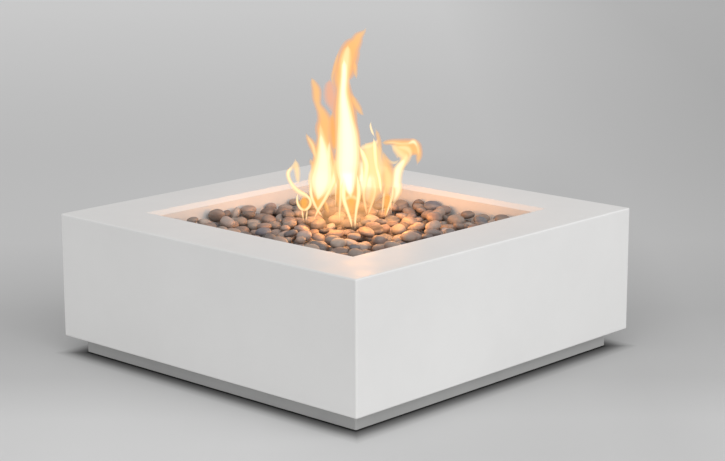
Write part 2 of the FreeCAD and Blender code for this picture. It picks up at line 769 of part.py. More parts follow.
def side_rail(label, side_x):
    """A square tube from post to post, with a bolted plate at each end."""
    middle_x = f"{side_x} * {POST_PLACE}"
    body = doc.addObject("PartDesign::Body", label + "_weldment")
    tube = sketch(body, label + "_section", "XZ_Plane", f"-({POST_INNER} - plate_thick)")
    rectangle(tube, (middle_x, RAIL_MIDDLE), ("rail_tube", "rail_tube"))
    rectangle(tube, (middle_x, RAIL_MIDDLE), ("rail_tube - 2 * rail_wall", "rail_tube - 2 * rail_wall"))
    pad(body, tube, f"2 * ({POST_INNER} - plate_thick)")
    for number, (side_y, away) in enumerate(((1, True), (-1, False))):
        plate = sketch(body, f"{label}_plate_{number}", "XZ_Plane",
                       f"-{side_y} * ({POST_INNER} - plate_thick)")
        rectangle(plate, (middle_x, RAIL_MIDDLE), ("post_tube", "rail_end_plate"))
        pad(body, plate, "plate_thick", reverse=away)
    holes = []
    for side_y in (-1, 1):
        for step in (-1, 1):
            start = (middle_x, f"{side_y} * ({POST_INNER} - plate_thick * 1.5)",
                     f"{RAIL_MIDDLE} + {step} * rail_bolt_reach")
            holes.append(rod(f"{label}_end_hole_{len(holes)}", "bolt_radius + bolt_slack",
                             "2 * plate_thick", start, "+y" if side_y > 0 else "-y"))
    for side_y in (-1, 1):
        holes.append(rod(f"{label}_top_hole_{side_y + 1}", "bolt_radius + bolt_slack", "2 * rail_wall",
                         (middle_x, f"{side_y} * {BEARER_PLACE}", f"{RAIL_TOP} - rail_wall * 1.5")))
    keep(label, cut(label + "_drilled", body, holes))


def cross_bearer(label, side_y):
    """A square tube between the side rails, with a tab on top of each rail; the pan rests on it."""
    middle_y = f"{side_y} * {BEARER_PLACE}"
    body = doc.addObject("PartDesign::Body", label + "_weldment")
    tube = sketch(body, label + "_section", "YZ_Plane", f"-{RAIL_INNER}")
    rectangle(tube, (middle_y, RAIL_MIDDLE), ("rail_tube", "rail_tube"))
    rectangle(tube, (middle_y, RAIL_MIDDLE), ("rail_tube - 2 * rail_wall", "rail_tube - 2 * rail_wall"))
    pad(body, tube, f"2 * {RAIL_INNER}")
    tabs = sketch(body, label + "_tabs", "XY_Plane", RAIL_TOP)
    for side_x in (-1, 1):
        rectangle(tabs, (f"{side_x} * ({POST_PLACE} + rail_tube / 2 - bearer_tab / 2)", middle_y),
                  ("bearer_tab", "rail_tube"))
    pad(body, tabs, "plate_thick")
    holes = [rod(f"{label}_tab_hole_{side_x + 1}", "bolt_radius + bolt_slack", "2 * plate_thick",
                 (f"{side_x} * {POST_PLACE}", middle_y, f"{RAIL_TOP} - plate_thick / 2"))
             for side_x in (-1, 1)]
    keep(label, cut(label + "_drilled", body, holes))


def bolt(name, seat, along, length):
    """A hexagon-head bolt whose head stands on the seat and whose shank runs along an axis."""
    back = {"+y": "-y", "-y": "+y", "-z": "+z"}[along]
    head = hexagon(name + "_head", "bolt_head", "bolt_head_height", seat, back)
    shank = rod(name + "_shank", "bolt_radius", length, seat, along)
    return fuse(name, [head, shank])


def frame_bolts():
    """Bolts of the posts' base plates, and those of the rails and bearers."""
    base = [bolt(f"post_bolt_{number}", (x, y, f"{TRAY_TOP} + plate_thick"), "-z",
                 "plate_thick + tray_sheet + plinth_height / 2")
            for number, (x, y) in enumerate(post_bolt_places())]
    keep("post_bolts", group("post_bolt_set", base))
    made = []
    for side_x in (-1, 1):
        for side_y in (-1, 1):
            for step in (-1, 1):
                seat = (f"{side_x} * {POST_PLACE}", f"{side_y} * ({POST_INNER} - plate_thick)",
                        f"{RAIL_MIDDLE} + {step} * rail_bolt_reach")
                made.append(bolt(f"rail_bolt_{len(made)}", seat, "+y" if side_y > 0 else "-y",
                                 "plate_thick + post_wall + bolt_radius"))
            seat = (f"{side_x} * {POST_PLACE}", f"{side_y} * {BEARER_PLACE}", f"{RAIL_TOP} + plate_thick")
            made.append(bolt(f"bearer_bolt_{len(made)}", seat, "-z",
                             "plate_thick + rail_wall + bolt_radius"))
    keep("rail_bolts", group("rail_bolt_set", made))


def heat_shield():
    """Folded sheet screwed under the bearers, between the pan and the gas train."""
    body = doc.addObject("PartDesign::Body", "shield_sheet_metal")
    depth = f"2 * ({BEARER_PLACE} + rail_tube / 2)"
    plate = sketch(body, "shield_plate", "XY_Plane", f"{SHIELD_TOP} - shield_sheet")
    rectangle(plate, ("0", "0"), ("shield_width", depth))
    circle(plate, ("0", "0"), "shield_hole")
    rectangle(plate, ("0", "bracket_place"), ("shield_slot_width", "shield_slot_depth"))
    pad(body, plate, "shield_sheet")
    folds = sketch(body, "shield_folds", "XY_Plane", f"{SHIELD_TOP} - shield_edge")
    for side in (-1, 1):
        rectangle(folds, (f"{side} * (shield_width / 2 - shield_sheet / 2)", "0"), ("shield_sheet", depth))
    pad(body, folds, "shield_edge - shield_sheet")
    places = [(f"{sx} * shield_width * 0.4", f"{sy} * {BEARER_PLACE}") for sx in (-1, 1) for sy in (-1, 1)]
    holes = [rod(f"shield_screw_hole_{number}", "screw_radius + screw_slack", "2 * shield_sheet",
                 (x, y, f"{SHIELD_TOP} - 1.5 * shield_sheet"))
             for number, (x, y) in enumerate(places)]
    keep("heat_shield", cut("shield_drilled", body, holes))
    made = []
    for number, (x, y) in enumerate(places):
        seat = (x, y, f"{SHIELD_TOP} - shield_sheet - screw_head_height")
        head = rod(f"shield_screw_head_{number}", "screw_head_radius", "screw_head_height", seat)
        shank = rod(f"shield_screw_shank_{number}", "screw_radius",
                    "screw_head_height + shield_sheet", seat)
        made.append(fuse(f"shield_screw_{number}", [head, shank]))
    keep("shield_screws", group("shield_screw_set", made))


# ---------------------------------------------------------------- pan, burner and bed
def probe_places():
    """Middles of the electrode and of the thermocouple, beside the ring on the controls' side."""
    return ("-probe_spacing / 2", "bracket_place"), ("probe_spacing / 2", "bracket_place")


def burner_pan():
    """A square stainless tray that drops in between the lining walls and rests on the bearers."""
    body = doc.addObject("PartDesign::Body", "pan_sheet_metal")
    block_out = sketch(body, "pan_outline", "XY_Plane", RAIL_TOP)
    rectangle(block_out, ("0", "0"), (f"2 * {PAN_HALF}", f"2 * {PAN_HALF}"))
    pad(body, block_out, "pan_height")
    hollow = sketch(body, "pan_hollow", "XY_Plane", f"{RAIL_TOP} + pan_height")
    rectangle(hollow, ("0", "0"), (f"2 * ({PAN_HALF} - pan_sheet)", f"2 * ({PAN_HALF} - pan_sheet)"))
    pocket(body, hollow, "pan_height - pan_sheet")
    holes = sketch(body, "pan_holes", "XY_Plane", PAN_FLOOR)
    circle(holes, ("0", "0"), "nipple_radius + thread_slack")
    for number in range(DRAIN_HOLES):
        angle = 360 * (number + 0.5) / DRAIN_HOLES
        circle(holes, (f"drain_circle * cos({angle})", f"drain_circle * sin({angle})"), "drain_radius")
    electrode, thermocouple = probe_places()
    circle(holes, electrode, "insulator_radius + thread_slack")
    circle(holes, thermocouple, "thermocouple_radius + thread_slack")
    pocket(body, holes, "pan_sheet")
    keep("burner_pan", body)


def ring_burner():
    """Two hollow rings on a hub with four spokes, drilled along the top, over a threaded nipple."""
    def plumbing(name, shrink, hub_base, hub_top):
        parts = [ring(f"{name}_outer", "outer_ring", f"ring_tube - {shrink}", RING_LEVEL),
                 ring(f"{name}_inner", "inner_ring", f"ring_tube - {shrink}", RING_LEVEL)]
        for along in ("+x", "-x", "+y", "-y"):
            parts.append(rod(f"{name}_spoke_{len(parts)}", f"spoke_tube - {shrink}", "outer_ring",
                             ("0", "0", RING_LEVEL), along))
        parts.append(rod(f"{name}_hub", f"hub_radius - {shrink}", f"({hub_top}) - ({hub_base})",
                         ("0", "0", f"{PAN_FLOOR} + {hub_base}")))
        return fuse(name, parts)

    metal = plumbing("burner_metal", "0", "0", "hub_height")
    voids = plumbing("burner_void", "burner_wall", "hub_boss", "hub_height - burner_wall")
    shoulder = "(hub_boss - burner_wall)"
    openings = [rod("burner_socket", "nipple_radius + thread_slack", shoulder, ("0", "0", PAN_FLOOR)),
                rod("burner_feed", "nipple_radius - nipple_wall", "hub_boss", ("0", "0", PAN_FLOOR))]
    for radius, count in (("outer_ring", OUTER_PORTS), ("inner_ring", INNER_PORTS)):
        for number in range(count):
            angle = 360 * (number + 0.5) / count
            openings.append(rod(f"port_{len(openings)}", "port_radius", "2 * burner_wall",
                                (f"{radius} * cos({angle})", f"{radius} * sin({angle})",
                                 f"{RING_LEVEL} + ring_tube - 1.5 * burner_wall")))
    hollow = cut("burner_hollow", metal, [voids])
    keep("ring_burner", cut("burner_drilled", hollow, openings))

    length = f"nipple_reach + {shoulder}"
    nipple = rod("nipple_tube", "nipple_radius", length, ("0", "0", NIPPLE_END))
    nipple_bore = rod("nipple_bore", "nipple_radius - nipple_wall", length, ("0", "0", NIPPLE_END))
    keep("burner_nipple", cut("nipple_cut", nipple, [nipple_bore]))


def gas_train():
    """Lock nut under the pan, venturi with four air windows, and the brass orifice below it."""
    seat = ("0", "0", f"{RAIL_TOP} - lock_nut_height")
    nut = hexagon("lock_nut_blank", "lock_nut", "lock_nut_height", seat)
    nut_bore = rod("lock_nut_bore", "nipple_radius + thread_slack", "lock_nut_height", seat)
    keep("hub_lock_nut", cut("lock_nut_cut", nut, [nut_bore]))

    tube = rod("mixer_tube", "mixer_radius", "mixer_length", ("0", "0", MIXER_BASE))
    cuts = [rod("mixer_socket", "nipple_radius + thread_slack", "nipple_grip", ("0", "0", NIPPLE_END)),
            rod("mixer_chamber_bore", "mixer_chamber", f"{NIPPLE_END} - {MIXER_BASE} - orifice_hex_height",
                ("0", "0", f"{MIXER_BASE} + orifice_hex_height")),
            rod("mixer_orifice_bore", "orifice_radius + thread_slack", "orifice_hex_height",
                ("0", "0", MIXER_BASE))]
    sill = f"({MIXER_BASE} + window_rise)"
    cuts.append(block("mixer_window_x", ("2 * mixer_radius", "window_width", "window_height"),
                      ("-mixer_radius", "-window_width / 2", sill)))
    cuts.append(block("mixer_window_y", ("window_width", "2 * mixer_radius", "window_height"),
                      ("-window_width / 2", "-mixer_radius", sill)))
    keep("air_mixer", cut("mixer_cut", tube, cuts))

    neck = rod("orifice_neck", "orifice_radius", "orifice_hex_height + jet_reach", ("0", "0", MIXER_BASE))
    flats = hexagon("orifice_flats", "orifice_hex", "orifice_hex_height", ("0", "0", ORIFICE_HEX_BASE))
    tail = rod("orifice_tail_end", "burner_hose_radius", "orifice_tail", ("0", "0", ORIFICE_END))
    solid = fuse("orifice_solid", [neck, flats, tail])
    jet = rod("orifice_jet", "orifice_bore", "orifice_hex_height * 2 + orifice_tail + jet_reach",
              ("0", "0", ORIFICE_END))
    keep("gas_orifice", cut("orifice_cut", solid, [jet]))


def lava_fill():
    """The bed of broken lava rock: a low mound that fills the pan and leaves room round the burner."""
    base = f"({PAN_FLOOR} + bed_gap)"
    reach = f"({BED_HALF} * sqrt(2))"
    radius = f"(({reach} * {reach} + bed_crown * bed_crown) / (2 * bed_crown))"
    slab = block("bed_block", (f"2 * {BED_HALF}", f"2 * {BED_HALF}", "bed_edge + bed_crown"),
                 (f"-{BED_HALF}", f"-{BED_HALF}", base))
    dome = doc.addObject("Part::Sphere", "bed_dome")
    bind(dome, Radius=radius)
    put(dome, ("0", "0", f"{base} + bed_edge + bed_crown - {radius}"))
    mound = doc.addObject("Part::Common", "bed_mound")
    mound.Base = slab
    mound.Tool = dome
    tallest = f"max({PROBE_BASE} + insulator_length + electrode_tip; {PROBE_BASE} + thermocouple_length;" \
              f" {PAN_FLOOR} + hub_height; {PAN_FLOOR} + bracket_height)"
    room = rod("burner_room", "burner_room_radius", f"{tallest} + room_clearance - {base}",
               ("0", "0", base))
    keep("lava_fill", cut("bed_cut", mound, [room]))


# ---------------------------------------------------------------- pebbles
def lie_of(turn, tilt, lean):
    """How a stone lies: turned about the vertical and then tipped about a level axis."""
    tip = Rotation(Vector(math.cos(lean), math.sin(lean), 0), math.degrees(tilt))
    return tip.multiply(Rotation(UP, math.degrees(turn)))


class Stone:
    """An ellipsoid with half axes a, b and c in a given lie."""

    def __init__(self, half_axes, lie):
        self.half_axes = half_axes
        self.lie = lie
        self.inverse = [[0.0] * 3 for _ in range(3)]
        self.spread = [0.0] * 3
        directions = [lie.multVec(Vector(*(float(i == k) for k in range(3)))) for i in range(3)]
        for half_axis, direction in zip(half_axes, directions):
            parts = (direction.x, direction.y, direction.z)
            for i in range(3):
                self.spread[i] += (parts[i] * half_axis) ** 2
                for k in range(3):
                    self.inverse[i][k] += parts[i] * parts[k] / half_axis ** 2
        self.spread = [math.sqrt(value) for value in self.spread]

    def heights(self, dx, dy):
        """Lowest and highest points of the stone above a place beside its middle, or None."""
        q = self.inverse
        slope = q[0][2] * dx + q[1][2] * dy
        level = q[0][0] * dx * dx + q[1][1] * dy * dy + 2 * q[0][1] * dx * dy - 1
        inside = slope * slope - q[2][2] * level
        if inside <= 0:
            return None
        root = math.sqrt(inside)
        return (-slope - root) / q[2][2], (-slope + root) / q[2][2]


class Bed:
    """A height map of the bed, on which stones are laid one by one where they sit lowest."""
    STEP = 4.0

    def __init__(self, half, surface):
        self.half = half
        self.surface = surface
        self.count = int(2 * half / self.STEP) + 1
        self.height = [[surface(self.place(i), self.place(k)) for k in range(self.count)]
                       for i in range(self.count)]

    def place(self, index):
        return index * self.STEP - self.half

    def cells(self, middle, spread):
        low = max(0, math.ceil((middle - spread + self.half) / self.STEP))
        high = min(self.count - 1, int((middle + spread + self.half) / self.STEP))
        return range(low, high + 1)

    def try_stone(self, stone, x, y):
        """The height at which a stone comes to rest over x, y, and the cells under it."""
        rest = -math.inf
        footprint = []
        for i in self.cells(x, stone.spread[0]):
            for k in self.cells(y, stone.spread[1]):
                reach = stone.heights(self.place(i) - x, self.place(k) - y)
                if reach:
                    rest = max(rest, self.height[i][k] - reach[0])
                    footprint.append((i, k, reach[1]))
        return rest, footprint

    def lay(self, z, footprint):
        for i, k, top in footprint:
            self.height[i][k] = max(self.height[i][k], z + top)


def random_stone(rng, steep):
    half_long = rng.uniform(size("pebble_short"), size("pebble_long")) / 2
    half_wide = half_long * rng.uniform(0.7, 0.92)
    half_thick = half_long * rng.uniform(0.46, 0.64)
    tilt = math.radians(rng.uniform(40, 65) if steep else rng.uniform(0, 24))
    lie = lie_of(rng.uniform(0, math.tau), tilt, rng.uniform(0, math.tau))
    return Stone((half_long, half_wide, half_thick), lie)


def settle(bed, rng, where="anywhere"):
    """Try one stone in several places and keep the one where it sits lowest."""
    stone = random_stone(rng, where == "wall")
    room = [bed.half - stone.spread[i] - size("pebble_gap") for i in range(2)]
    best = None
    for _ in range(PLACES_TRIED):
        x, y = rng.uniform(-room[0], room[0]), rng.uniform(-room[1], room[1])
        if where == "wall":
            side = rng.choice((-1, 1))
            x, y = (side * room[0], y) if rng.random() < 0.5 else (x, side * room[1])
        if where == "corner":
            x, y = [rng.choice((-1, 1)) * rng.uniform(0.7, 1) * reach for reach in room]
        z, footprint = bed.try_stone(stone, x, y)
        if best is None or z - bed.surface(x, y) < best[0]:
            best = (z - bed.surface(x, y), x, y, z, footprint)
    _, x, y, z, footprint = best
    z += size("pebble_gap")
    bed.lay(z, footprint)
    return stone, Vector(x, y, z)


def pebbles():
    """River pebbles laid on the mound, with some on edge at the walls and some heaped in the corners."""
    mouth_half = size("shell_side") / 2 - size("rim_width") - size("mouth_chamfer")
    bed_half = mouth_half - size("pan_gap") - size("pan_sheet") - size("bed_gap")
    reach = bed_half * math.sqrt(2)
    crown = size("bed_crown")
    radius = (reach ** 2 + crown ** 2) / (2 * crown)
    crest = pan_underside() + size("pan_sheet") + size("bed_gap") + size("bed_edge") + crown

    def mound(x, y):
        return crest - radius + math.sqrt(radius ** 2 - x * x - y * y)

    rng = random.Random(11)
    bed = Bed(mouth_half, mound)
    stones = [settle(bed, rng) for _ in range(PEBBLE_COUNT)]
    stones += [settle(bed, rng, "wall") for _ in range(STANDING_PEBBLES)]
    stones += [settle(bed, rng, "corner") for _ in range(CORNER_PEBBLES)]
    ball = Part.makeSphere(1)
    solids = []
    for stone, middle in stones:
        stretch = FreeCAD.Matrix()
        stretch.scale(*stone.half_axes)
        solid = ball.transformGeometry(stretch)
        solid.Placement = Placement(middle, stone.lie)
        solids.append(solid)
    made = doc.addObject("Part::Feature", "pebble_heap")
    made.Shape = Part.makeCompound(solids)
    made.Placement = Placement()
    keep("pebbles", made)


# ---------------------------------------------------------------- controls in the rear side
def control_niche():
    """A folded stainless box let into the rear side, with a flange and a window in its back."""
    body = doc.addObject("PartDesign::Body", "niche_sheet_metal")
    outer = ("niche_width - 2 * liner_gap", "niche_height - 2 * liner_gap")
    shell = sketch(body, "niche_outline", "XZ_Plane", f"-{HALF_SIDE}")
    rectangle(shell, NICHE_MIDDLE, outer)
    pad(body, shell, "niche_depth + liner_sheet")
    flange = sketch(body, "niche_flange", "XZ_Plane", f"-{HALF_SIDE}")
    rectangle(flange, NICHE_MIDDLE,
              ("niche_width + 2 * liner_flange", "niche_height + 2 * liner_flange"))
    pad(body, flange, "liner_sheet")
    hollow = sketch(body, "niche_hollow", "XZ_Plane", f"-{HALF_SIDE}")
    rectangle(hollow, NICHE_MIDDLE, (f"{outer[0]} - 2 * liner_sheet", f"{outer[1]} - 2 * liner_sheet"))
    pocket(body, hollow, "niche_depth", reverse=True)
    window = sketch(body, "niche_window", "XZ_Plane", f"-{PANEL_BACK}")
    rectangle(window, NICHE_MIDDLE, ("niche_width - 2 * panel_margin - 2 * window_margin",
                                     "niche_height - 2 * panel_margin - 2 * window_margin"))
    pocket(body, window, "liner_sheet", reverse=True)
    holes = screw_holes("niche", [rear_face(place) for place in NICHE_SCREWS], "-y")
    holes += [rod(f"niche_panel_hole_{number}", "screw_radius + screw_slack", "2 * liner_sheet",
                  (x, f"{PANEL_BACK} + liner_sheet / 2", z), "-y")
              for number, (x, z) in enumerate(panel_screw_places())]
    keep("control_niche", cut("niche_drilled", body, holes))


def panel_screw_places():
    return corners_of(NICHE_MIDDLE, ("niche_width - 2 * panel_margin - 2 * screw_inset - liner_sheet",
                                     "niche_height - 2 * panel_margin - 2 * screw_inset - liner_sheet"))


def control_panel():
    """The plate in the niche, with holes for the valve, the igniter and the gas inlet."""
    body = doc.addObject("PartDesign::Body", "panel_plate")
    plate = sketch(body, "panel_outline", "XZ_Plane", f"-{PANEL_FRONT}")
    rectangle(plate, NICHE_MIDDLE, ("niche_width - 2 * panel_margin", "niche_height - 2 * panel_margin"))
    pad(body, plate, "panel_sheet")
    holes = sketch(body, "panel_holes", "XZ_Plane", f"-{PANEL_FRONT}")
    circle(holes, (KNOB_X, "controls_height"), "valve_neck_radius + thread_slack")
    circle(holes, (IGNITER_X, "controls_height"), "igniter_neck_radius + thread_slack")
    circle(holes, (INLET_X, "controls_height"), "inlet_body_radius + thread_slack")
    for x, z in panel_screw_places():
        circle(holes, (x, z), "screw_radius + screw_slack")
    pocket(body, holes, "panel_sheet", reverse=True)
    keep("control_panel", body)
    made = []
    for number, (x, z) in enumerate(panel_screw_places()):
        seat = (x, f"{PANEL_FRONT} + screw_head_height", z)
        head = rod(f"panel_screw_head_{number}", "screw_head_radius", "screw_head_height", seat, "-y")
        shank = rod(f"panel_screw_shank_{number}", "screw_radius",
                    "screw_head_height + panel_sheet + 2 * liner_sheet", seat, "-y")
        made.append(fuse(f"panel_screw_{number}", [head, shank]))
    keep("panel_screws", group("panel_screw_set", made))


def gas_valve():
    """A brass valve block with a neck through the panel and both its hose ports at the back."""
    middle = (KNOB_X, "controls_height")
    block_piece = block("valve_block", ("valve_width", "valve_length", "valve_height"),
                        (f"{middle[0]} - valve_width / 2", VALVE_BACK, f"{middle[1]} - valve_height / 2"))
    neck = rod("valve_neck", "valve_neck_radius", "valve_neck_length + panel_sheet",
               (middle[0], VALVE_FRONT, middle[1]), "+y")
    inlet = rod("valve_inlet", "valve_port_radius", "valve_port_length",
                (VALVE_INLET_X, VALVE_BACK, middle[1]), "-y")
    outlet = rod("valve_outlet", "valve_port_radius", "valve_port_length",
                 (VALVE_OUTLET_X, VALVE_BACK, middle[1]), "-y")
    lead_port = hexagon("valve_lead_port", "lead_port_size", "lead_port_length",
                        (middle[0], VALVE_BACK, f"{middle[1]} - lead_port_drop"), "-y")
    solid = fuse("valve_solid", [block_piece, neck, inlet, outlet, lead_port])
    bore = rod("valve_stem_bore", "shaft_radius + running_fit", "shaft_hold + shaft_end_gap",
               (middle[0], f"{PANEL_FRONT} - shaft_hold - shaft_end_gap", middle[1]), "+y")
    keep("gas_valve", cut("valve_cut", solid, [bore]))


def far_rim(bar, amount):
    """The edge of a bar's far end, as a rounding or a chamfer takes it: edge number and two amounts."""
    return [(number, amount, amount) for number, edge in enumerate(bar.Shape.Edges, start=1)
            if edge.Closed and edge.BoundBox.YMin > bar.Placement.Base.y + bar.Height.Value / 2]


def knob_pieces():
    """The D-shaped valve shaft, and the fluted knob that slides on it."""
    middle = (KNOB_X, "controls_height")
    start = f"({PANEL_FRONT} - shaft_hold)"
    flat_start = "(knob_gap - knob_travel - shaft_end_gap)"
    bar = rod("shaft_bar", "shaft_radius", "shaft_hold + shaft_reach", (middle[0], start, middle[1]), "+y")
    flat = block("shaft_flat_cut", ("2 * shaft_radius", f"shaft_reach - {flat_start}", "shaft_radius"),
                 (f"{middle[0]} - shaft_radius", f"{PANEL_FRONT} + {flat_start}",
                  f"{middle[1]} + shaft_radius - shaft_flat"))
    keep("valve_shaft", cut("shaft_cut", bar, [flat]))

    back = f"({PANEL_FRONT} + knob_gap)"
    grip = rod("knob_grip", "knob_radius", "knob_depth", (middle[0], back, middle[1]), "+y")
    cuts = []
    for number in range(KNOB_FLUTES):
        angle = 360 * (number + 0.5) / KNOB_FLUTES
        cuts.append(rod(f"knob_flute_{number}", "knob_flute_radius", "knob_depth",
                        (f"{middle[0]} + knob_radius * cos({angle})", f"{back} + knob_skirt",
                         f"{middle[1]} + knob_radius * sin({angle})"), "+y"))
    depth = "(shaft_reach - knob_gap + knob_travel + shaft_end_gap)"
    round_bore = rod("knob_round_bore", "shaft_radius + running_fit", depth,
                     (middle[0], back, middle[1]), "+y")
    key = block("knob_key", ("2 * shaft_radius", depth, "shaft_radius"),
                (f"{middle[0]} - shaft_radius", back,
                 f"{middle[1]} + shaft_radius - shaft_flat + running_fit"))
    cuts.append(cut("knob_bore", round_bore, [key]))
    face = f"{back} + knob_depth - pointer_depth"
    cuts.append(block("knob_pointer_slot",
                      ("pointer_width + 2 * pointer_slack", "pointer_depth", "knob_radius * 0.6"),
                      (f"{middle[0]} - pointer_width / 2 - pointer_slack", face,
                       f"{middle[1]} + knob_radius * 0.3")))
    blank = doc.addObject("Part::Chamfer", "knob_blank")
    blank.Base = grip
    doc.recompute()
    blank.Edges = far_rim(grip, size("knob_edge"))
    keep("control_knob", cut("knob_cut", blank, cuts))
    keep("knob_pointer", block("knob_pointer_bar",
                               ("pointer_width", "pointer_depth", "knob_radius * 0.6 - 2 * pointer_slack"),
                               (f"{middle[0]} - pointer_width / 2", face,
                                f"{middle[1]} + knob_radius * 0.3 + pointer_slack")))


def igniter():
    """A barrel behind the panel with the battery in it, its nut in front, and the sprung button."""
    x, z = IGNITER_X, "controls_height"
    tail = f"({PANEL_BACK} - barrel_length)"
    barrel = rod("igniter_barrel", "barrel_radius", "barrel_length", (x, tail, z), "+y")
    neck = rod("igniter_neck", "igniter_neck_radius", "igniter_neck_length + panel_sheet",
               (x, PANEL_BACK, z), "+y")
    solid = fuse("igniter_solid", [barrel, neck])
    bore = rod("igniter_bore", "barrel_bore", "barrel_length + igniter_neck_length + panel_sheet",
               (x, f"{tail} + barrel_floor", z), "+y")
    keep("igniter_module", cut("igniter_cut", solid, [bore]))
    nut = hexagon("igniter_nut_blank", "igniter_nut", "igniter_nut_height", (x, PANEL_FRONT, z), "+y")
    nut_bore = rod("igniter_nut_bore", "igniter_neck_radius + thread_slack", "igniter_nut_height",
                   (x, PANEL_FRONT, z), "+y")
    keep("igniter_nut", cut("igniter_nut_cut", nut, [nut_bore]))
    front = f"({PANEL_FRONT} + igniter_neck_length)"
    cap = rod("button_cap", "button_radius", "button_proud + button_stem",
              (x, f"{front} - button_stem", z), "+y")
    rounded = doc.addObject("Part::Fillet", "button_rounded")
    rounded.Base = cap
    doc.recompute()
    rounded.Edges = far_rim(cap, size("button_edge"))
    keep("igniter_button", rounded)
    can_start = f"{tail} + barrel_floor + battery_gap"
    cell = rod("battery_can", "battery_radius", "battery_length", (x, can_start, z), "+y")
    tip = rod("battery_cap", "battery_radius / 3", "battery_tip",
              (x, f"{can_start} + battery_length", z), "+y")
    keep("igniter_battery", fuse("battery_solid", [cell, tip]))


def gas_inlet():
    """A bulkhead fitting with a flare thread in front of the panel and a hose tail behind it."""
    x, z = INLET_X, "controls_height"
    shoulder = hexagon("inlet_shoulder_hex", "inlet_shoulder", "inlet_shoulder_height",
                       (x, f"{PANEL_BACK} - inlet_shoulder_height", z), "+y")
    barrel = rod("inlet_barrel", "inlet_body_radius", "panel_sheet + inlet_nut_height + inlet_collar",
                 (x, PANEL_BACK, z), "+y")
    thread_start = f"({PANEL_FRONT} + inlet_nut_height + inlet_collar)"
    thread = rod("inlet_thread", "inlet_thread_radius", "inlet_thread_length", (x, thread_start, z), "+y")
    tail = rod("inlet_tail", "inlet_tail_radius", "inlet_tail_length",
               (x, f"{PANEL_BACK} - inlet_shoulder_height", z), "-y")
    solid = fuse("inlet_solid", [shoulder, barrel, thread, tail])
    bore = rod("inlet_bore_cut", "inlet_bore",
               "inlet_tail_length + inlet_shoulder_height + panel_sheet + inlet_nut_height"
               " + inlet_collar + inlet_thread_length",
               (x, f"{PANEL_BACK} - inlet_shoulder_height - inlet_tail_length", z), "+y")
    keep("gas_inlet_fitting", cut("inlet_cut", solid, [bore]))
    nut = hexagon("inlet_nut_blank", "inlet_shoulder", "inlet_nut_height", (x, PANEL_FRONT, z), "+y")
    nut_bore = rod("inlet_nut_bore", "inlet_body_radius + thread_slack", "inlet_nut_height",
                   (x, PANEL_FRONT, z), "+y")
    keep("inlet_nut", cut("inlet_nut_cut", nut, [nut_bore]))


# ---------------------------------------------------------------- electrode, thermocouple, hoses and wires
def probes():
    """A bracket on the pan floor that holds the spark electrode and the thermocouple beside the ring."""
    electrode, thermocouple = probe_places()
    x0 = "(-bracket_width / 2)"
    foot = block("bracket_foot_plate", ("bracket_width", "bracket_foot", "bracket_sheet"),
                 (x0, "bracket_place + bracket_foot / 2", PAN_FLOOR))
    wall = block("bracket_wall", ("bracket_width", "bracket_sheet", "bracket_height"),
                 (x0, "bracket_place + bracket_foot / 2", PAN_FLOOR))
    shelf = block("bracket_shelf", ("bracket_width", "bracket_foot", "bracket_sheet"),
                  (x0, "bracket_place - bracket_foot / 2", f"{PAN_FLOOR} + bracket_height - bracket_sheet"))
    solid = fuse("bracket_solid", [foot, wall, shelf])
    holes = [rod("bracket_electrode_hole", "insulator_radius + thread_slack", "3 * bracket_sheet",
                 (*electrode, f"{PAN_FLOOR} + bracket_height - 2 * bracket_sheet")),
             rod("bracket_lead_hole", "thermocouple_radius + thread_slack", "3 * bracket_sheet",
                 (*thermocouple, f"{PAN_FLOOR} + bracket_height - 2 * bracket_sheet"))]
    keep("electrode_bracket", cut("bracket_cut", solid, holes))
    base = PROBE_BASE
    sleeve = rod("insulator_sleeve", "insulator_radius", "insulator_length", (*electrode, base))
    needle_room = rod("insulator_bore", "electrode_radius + running_fit", "insulator_length",
                      (*electrode, base))
    keep("electrode_insulator", cut("insulator_cut", sleeve, [needle_room]))
    keep("electrode_rod", rod("electrode_needle", "electrode_radius", "insulator_length + electrode_tip",
                              (*electrode, base)))
    keep("thermocouple_probe", rod("thermocouple_stem", "thermocouple_radius", "thermocouple_length",
                                   (*thermocouple, base)))


def line_of(points, radius, label):
    """A round tube along straight runs joined by tangent arcs, as large as the runs allow."""
    runs = [after - before for before, after in zip(points, points[1:])]
    share = [0.45] * len(runs)
    share[0] = share[-1] = 0.9
    rooms = [run.Length * part for run, part in zip(runs, share)]
    edges = []
    start = points[0]
    for number, corner in enumerate(points[1:-1]):
        arriving = Vector(runs[number]).normalize()
        leaving = Vector(runs[number + 1]).normalize()
        reach = min(rooms[number], rooms[number + 1])
        half_turn = arriving.getAngle(leaving) / 2
        bend = reach / math.tan(half_turn)
        first = corner - arriving * reach
        last = corner + leaving * reach
        inward = (leaving - arriving).normalize()
        middle = corner + inward * (bend / math.cos(half_turn) - bend)
        edges.append(Part.LineSegment(start, first).toShape())
        edges.append(Part.Arc(first, middle, last).toShape())
        start = last
        print(f"{label}: bend radius {bend:.0f} mm")
    edges.append(Part.LineSegment(start, points[-1]).toShape())
    path = Part.Wire(edges)
    section = Part.Wire(Part.Circle(points[0], runs[0], radius).toShape())
    tube = path.makePipeShell([section], True, True)
    expected = math.pi * radius ** 2 * path.Length
    if abs(tube.Volume / expected - 1) > 0.01:
        raise RuntimeError(f"{label} has volume {tube.Volume:.0f}, not {expected:.0f}")
    return tube


def keep_line(label, points, radius):
    made = doc.addObject("Part::Feature", label + "_run")
    made.Shape = line_of(points, radius, label)
    made.Placement = Placement()
    keep(label, made)


def panel_back():
    return size("shell_side") / 2 - size("niche_depth")


def valve_back():
    return panel_back() - size("valve_neck_length") - size("valve_length")


def pan_underside():
    return (size("foot_height") + size("plinth_height") + size("shell_height") - size("mouth_depth")
            - size("pan_gap"))


